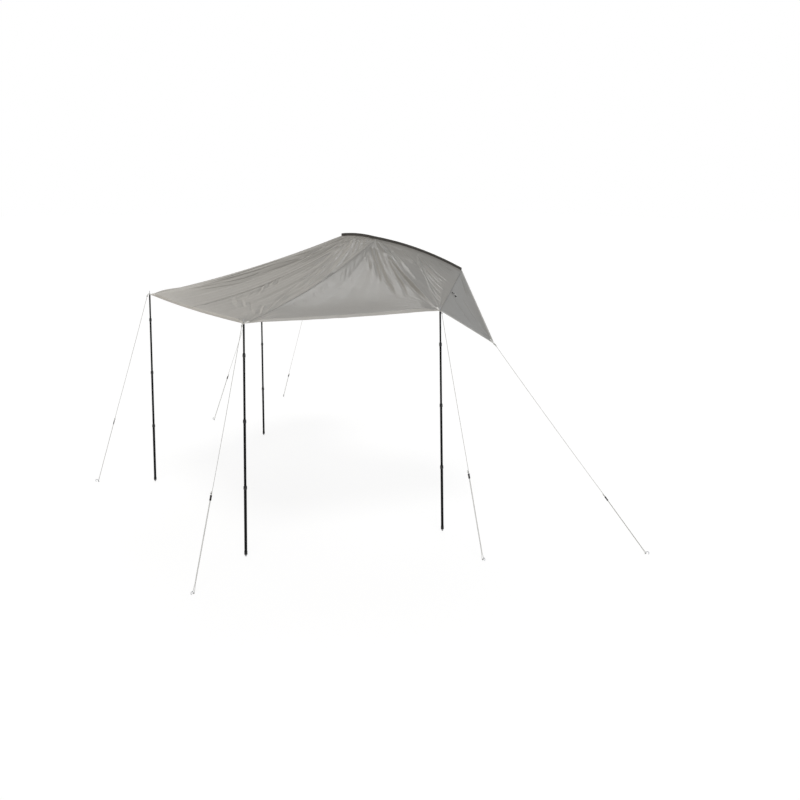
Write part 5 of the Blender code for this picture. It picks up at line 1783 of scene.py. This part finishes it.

# ============================================================== names of the pieces sewn onto the canopy sheet
# Its panels laid out flat are 5.6 m along the upper edge, wing to wing, and
# 2.9 m out from it; 7.55 m2 of that rectangle is cloth.
SEWN = ["canopy_felled_seams", "canopy_hems", "seam_stitching", "hem_stitching", "upper_edge_binding", "upper_edge_stitching"]
for stem in ("front_inner", "rear_inner", "front_outer", "rear_outer", "front_wing", "rear_wing"):
    SEWN += [stem + tail for tail in ("_corner_tab", "_tab_stitching", "_grommet")]

# ============================================================== stage and light
floor_mat = Mat("studio_floor", rough=0.8)
fn = floor_mat.noise(floor_mat.space("Object"), 40.0, 3.0)
floor_mat.colour(floor_mat.mix(floor_mat.remap(fn, 0.3, 0.7, 0.0, 1.0), (0.185, 0.185, 0.185), (0.195, 0.195, 0.195)))
floor_mat.b.inputs["Specular IOR Level"].default_value = 0.0
floor_mat.b.inputs["Emission Color"].default_value = (1, 1, 1, 1)
floor_mat.b.inputs["Emission Strength"].default_value = 0.86
me = bpy.data.meshes.new("studio_floor")
me.from_pydata([(-90, -90, 0), (90, -90, 0), (90, 90, 0), (-90, 90, 0)], [], [(0, 1, 2, 3)])
me.materials.append(floor_mat.m)
floor = bpy.data.objects.new("studio_floor", me)
bpy.context.scene.collection.objects.link(floor)

WALL_LIGHT = 1.85
WINDOW_LIGHT = 4.0
# studio walls: white to look at, softer as a light, a little warmer on the
# left of the picture and cooler on its right
world = bpy.data.worlds.new("studio")
bpy.context.scene.world = world
world.use_nodes = True
wt = world.node_tree
bg = wt.nodes["Background"]
wc = wt.nodes.new("ShaderNodeTexCoord")
side_of = wt.nodes.new("ShaderNodeVectorMath")
side_of.operation = "DOT_PRODUCT"
side_of.inputs[1].default_value = (0.627, 0.779, 0.0)
wt.links.new(wc.outputs["Generated"], side_of.inputs[0])
ramp = wt.nodes.new("ShaderNodeValToRGB")
ramp.color_ramp.elements[0].position = 0.15
ramp.color_ramp.elements[0].color = (0.26, 0.225, 0.19, 1)
ramp.color_ramp.elements[1].position = 0.85
ramp.color_ramp.elements[1].color = (0.46, 0.49, 0.53, 1)
half_of = wt.nodes.new("ShaderNodeMath")
half_of.operation = "MULTIPLY_ADD"
half_of.inputs[1].default_value = 0.5
half_of.inputs[2].default_value = 0.5
wt.links.new(side_of.outputs["Value"], half_of.inputs[0])
wt.links.new(half_of.outputs[0], ramp.inputs[0])
# the white wall behind the awning, which the cloth mirrors at a low angle
ahead = wt.nodes.new("ShaderNodeVectorMath")
ahead.operation = "DOT_PRODUCT"
ahead.inputs[1].default_value = (-0.779, 0.627, 0.0)
wt.links.new(wc.outputs["Generated"], ahead.inputs[0])
split = wt.nodes.new("ShaderNodeSeparateXYZ")
wt.links.new(wc.outputs["Generated"], split.inputs[0])


def world_range(x, a0, a1, b0, b1):
    n = wt.nodes.new("ShaderNodeMapRange")
    n.interpolation_type = "SMOOTHSTEP"
    for k, v in (("From Min", a0), ("From Max", a1), ("To Min", b0), ("To Max", b1)):
        n.inputs[k].default_value = v
    wt.links.new(x, n.inputs["Value"])
    return n.outputs["Result"]


wall = wt.nodes.new("ShaderNodeMath")
wall.operation = "MULTIPLY"
level = wt.nodes.new("ShaderNodeMath")
level.operation = "MULTIPLY"
wt.links.new(world_range(split.outputs["Z"], 0.24, 0.70, 0.92, 1.0), level.inputs[0])
turn = wt.nodes.new("ShaderNodeMath")
turn.operation = "ARCTAN2"
wt.links.new(side_of.outputs["Value"], turn.inputs[0])
wt.links.new(ahead.outputs["Value"], turn.inputs[1])
# its upper edge comes down towards the left
eaves = wt.nodes.new("ShaderNodeMapRange")
for k, v in (("From Min", -0.20), ("From Max", 0.0), ("To Min", 0.33), ("To Max", 0.0)):
    eaves.inputs[k].default_value = v
wt.links.new(turn.outputs[0], eaves.inputs["Value"])
top_end = wt.nodes.new("ShaderNodeMath")
top_end.operation = "ADD"
wt.links.new(split.outputs["Z"], top_end.inputs[0])
rise = wt.nodes.new("ShaderNodeMapRange")
for k, v in (("From Min", -0.48), ("From Max", -0.33), ("To Min", -0.26), ("To Max", 0.0)):
    rise.inputs[k].default_value = v
wt.links.new(turn.outputs[0], rise.inputs["Value"])
both = wt.nodes.new("ShaderNodeMath")
both.operation = "ADD"
wt.links.new(eaves.outputs["Result"], both.inputs[0])
wt.links.new(rise.outputs["Result"], both.inputs[1])
wt.links.new(both.outputs[0], top_end.inputs[1])
wt.links.new(world_range(top_end.outputs[0], 0.74, 0.99, 1.0, 0.0), level.inputs[1])
ends = wt.nodes.new("ShaderNodeMath")
ends.operation = "MULTIPLY"
# its right end leans over to the right
lean = wt.nodes.new("ShaderNodeMapRange")
for k, v in (("From Min", 0.45), ("From Max", 1.0), ("To Min", -0.24), ("To Max", 0.42)):
    lean.inputs[k].default_value = v
wt.links.new(split.outputs["Z"], lean.inputs["Value"])
right_end = wt.nodes.new("ShaderNodeMath")
right_end.operation = "SUBTRACT"
wt.links.new(turn.outputs[0], right_end.inputs[0])
wt.links.new(lean.outputs["Result"], right_end.inputs[1])
wt.links.new(world_range(right_end.outputs[0], -0.02, 0.16, 1.0, 0.0), ends.inputs[0])
# a darker gap between two panels of it, left of the middle
gap = wt.nodes.new("ShaderNodeMath")
gap.operation = "ADD"
wt.links.new(world_range(turn.outputs[0], -0.44, 0.04, 0.0, 1.0), gap.inputs[0])
wt.links.new(world_range(turn.outputs[0], -0.42, -0.28, 0.80, 0.0), gap.inputs[1])
left_end = wt.nodes.new("ShaderNodeMath")
left_end.operation = "MULTIPLY"
wt.links.new(gap.outputs[0], left_end.inputs[0])
wt.links.new(world_range(turn.outputs[0], -1.10, -0.75, 0.0, 1.0), left_end.inputs[1])
wt.links.new(left_end.outputs[0], ends.inputs[1])
wt.links.new(ends.outputs[0], wall.inputs[0])
wt.links.new(level.outputs[0], wall.inputs[1])
lit = wt.nodes.new("ShaderNodeMix")
lit.data_type = "RGBA"
wt.links.new(wall.outputs[0], lit.inputs["Factor"])
wt.links.new(ramp.outputs["Color"], lit.inputs[6])
tint = wt.nodes.new("ShaderNodeMix")
tint.data_type = "RGBA"
wt.links.new(world_range(turn.outputs[0], -0.45, 0.45, 0.0, 1.0), tint.inputs["Factor"])
tint.inputs[6].default_value = (WALL_LIGHT * 1.01, WALL_LIGHT * 0.98, WALL_LIGHT * 0.92, 1)
tint.inputs[7].default_value = (WALL_LIGHT * 0.92, WALL_LIGHT * 0.98, WALL_LIGHT * 1.05, 1)
wt.links.new(tint.outputs[2], lit.inputs[7])
# a brighter window in that wall, which only steep flanks of the folds mirror
pane = wt.nodes.new("ShaderNodeVectorMath")
pane.operation = "DOT_PRODUCT"
pane.inputs[1].default_value = (-0.448, 0.400, 0.800)
wt.links.new(wc.outputs["Generated"], pane.inputs[0])
glow = wt.nodes.new("ShaderNodeMix")
glow.data_type = "RGBA"
wt.links.new(world_range(pane.outputs["Value"], 0.982, 0.997, 0.0, 1.0), glow.inputs["Factor"])
wt.links.new(lit.outputs[2], glow.inputs[6])
glow.inputs[7].default_value = (WINDOW_LIGHT, WINDOW_LIGHT, WINDOW_LIGHT, 1)
path_ = wt.nodes.new("ShaderNodeLightPath")
pick = wt.nodes.new("ShaderNodeMix")
pick.data_type = "RGBA"
wt.links.new(path_.outputs["Is Camera Ray"], pick.inputs["Factor"])
wt.links.new(glow.outputs[2], pick.inputs[6])
pick.inputs[7].default_value = (1.0, 1.0, 1.0, 1)
wt.links.new(pick.outputs[2], bg.inputs["Color"])
bg.inputs["Strength"].default_value = 1.0

key = bpy.data.lights.new("key", "SUN")
key.energy = 1.0
key.angle = math.radians(20)
key.color = (1.0, 0.985, 0.965)
ko = bpy.data.objects.new("key", key)
ko.rotation_mode = "QUATERNION"
ko.rotation_quaternion = Vector((-0.27, 0.15, -0.95)).to_track_quat("-Z", "Y")
ko.location = (3, -1, 8)
bpy.context.scene.collection.objects.link(ko)
bpy.context.scene.view_settings.view_transform = "Standard"
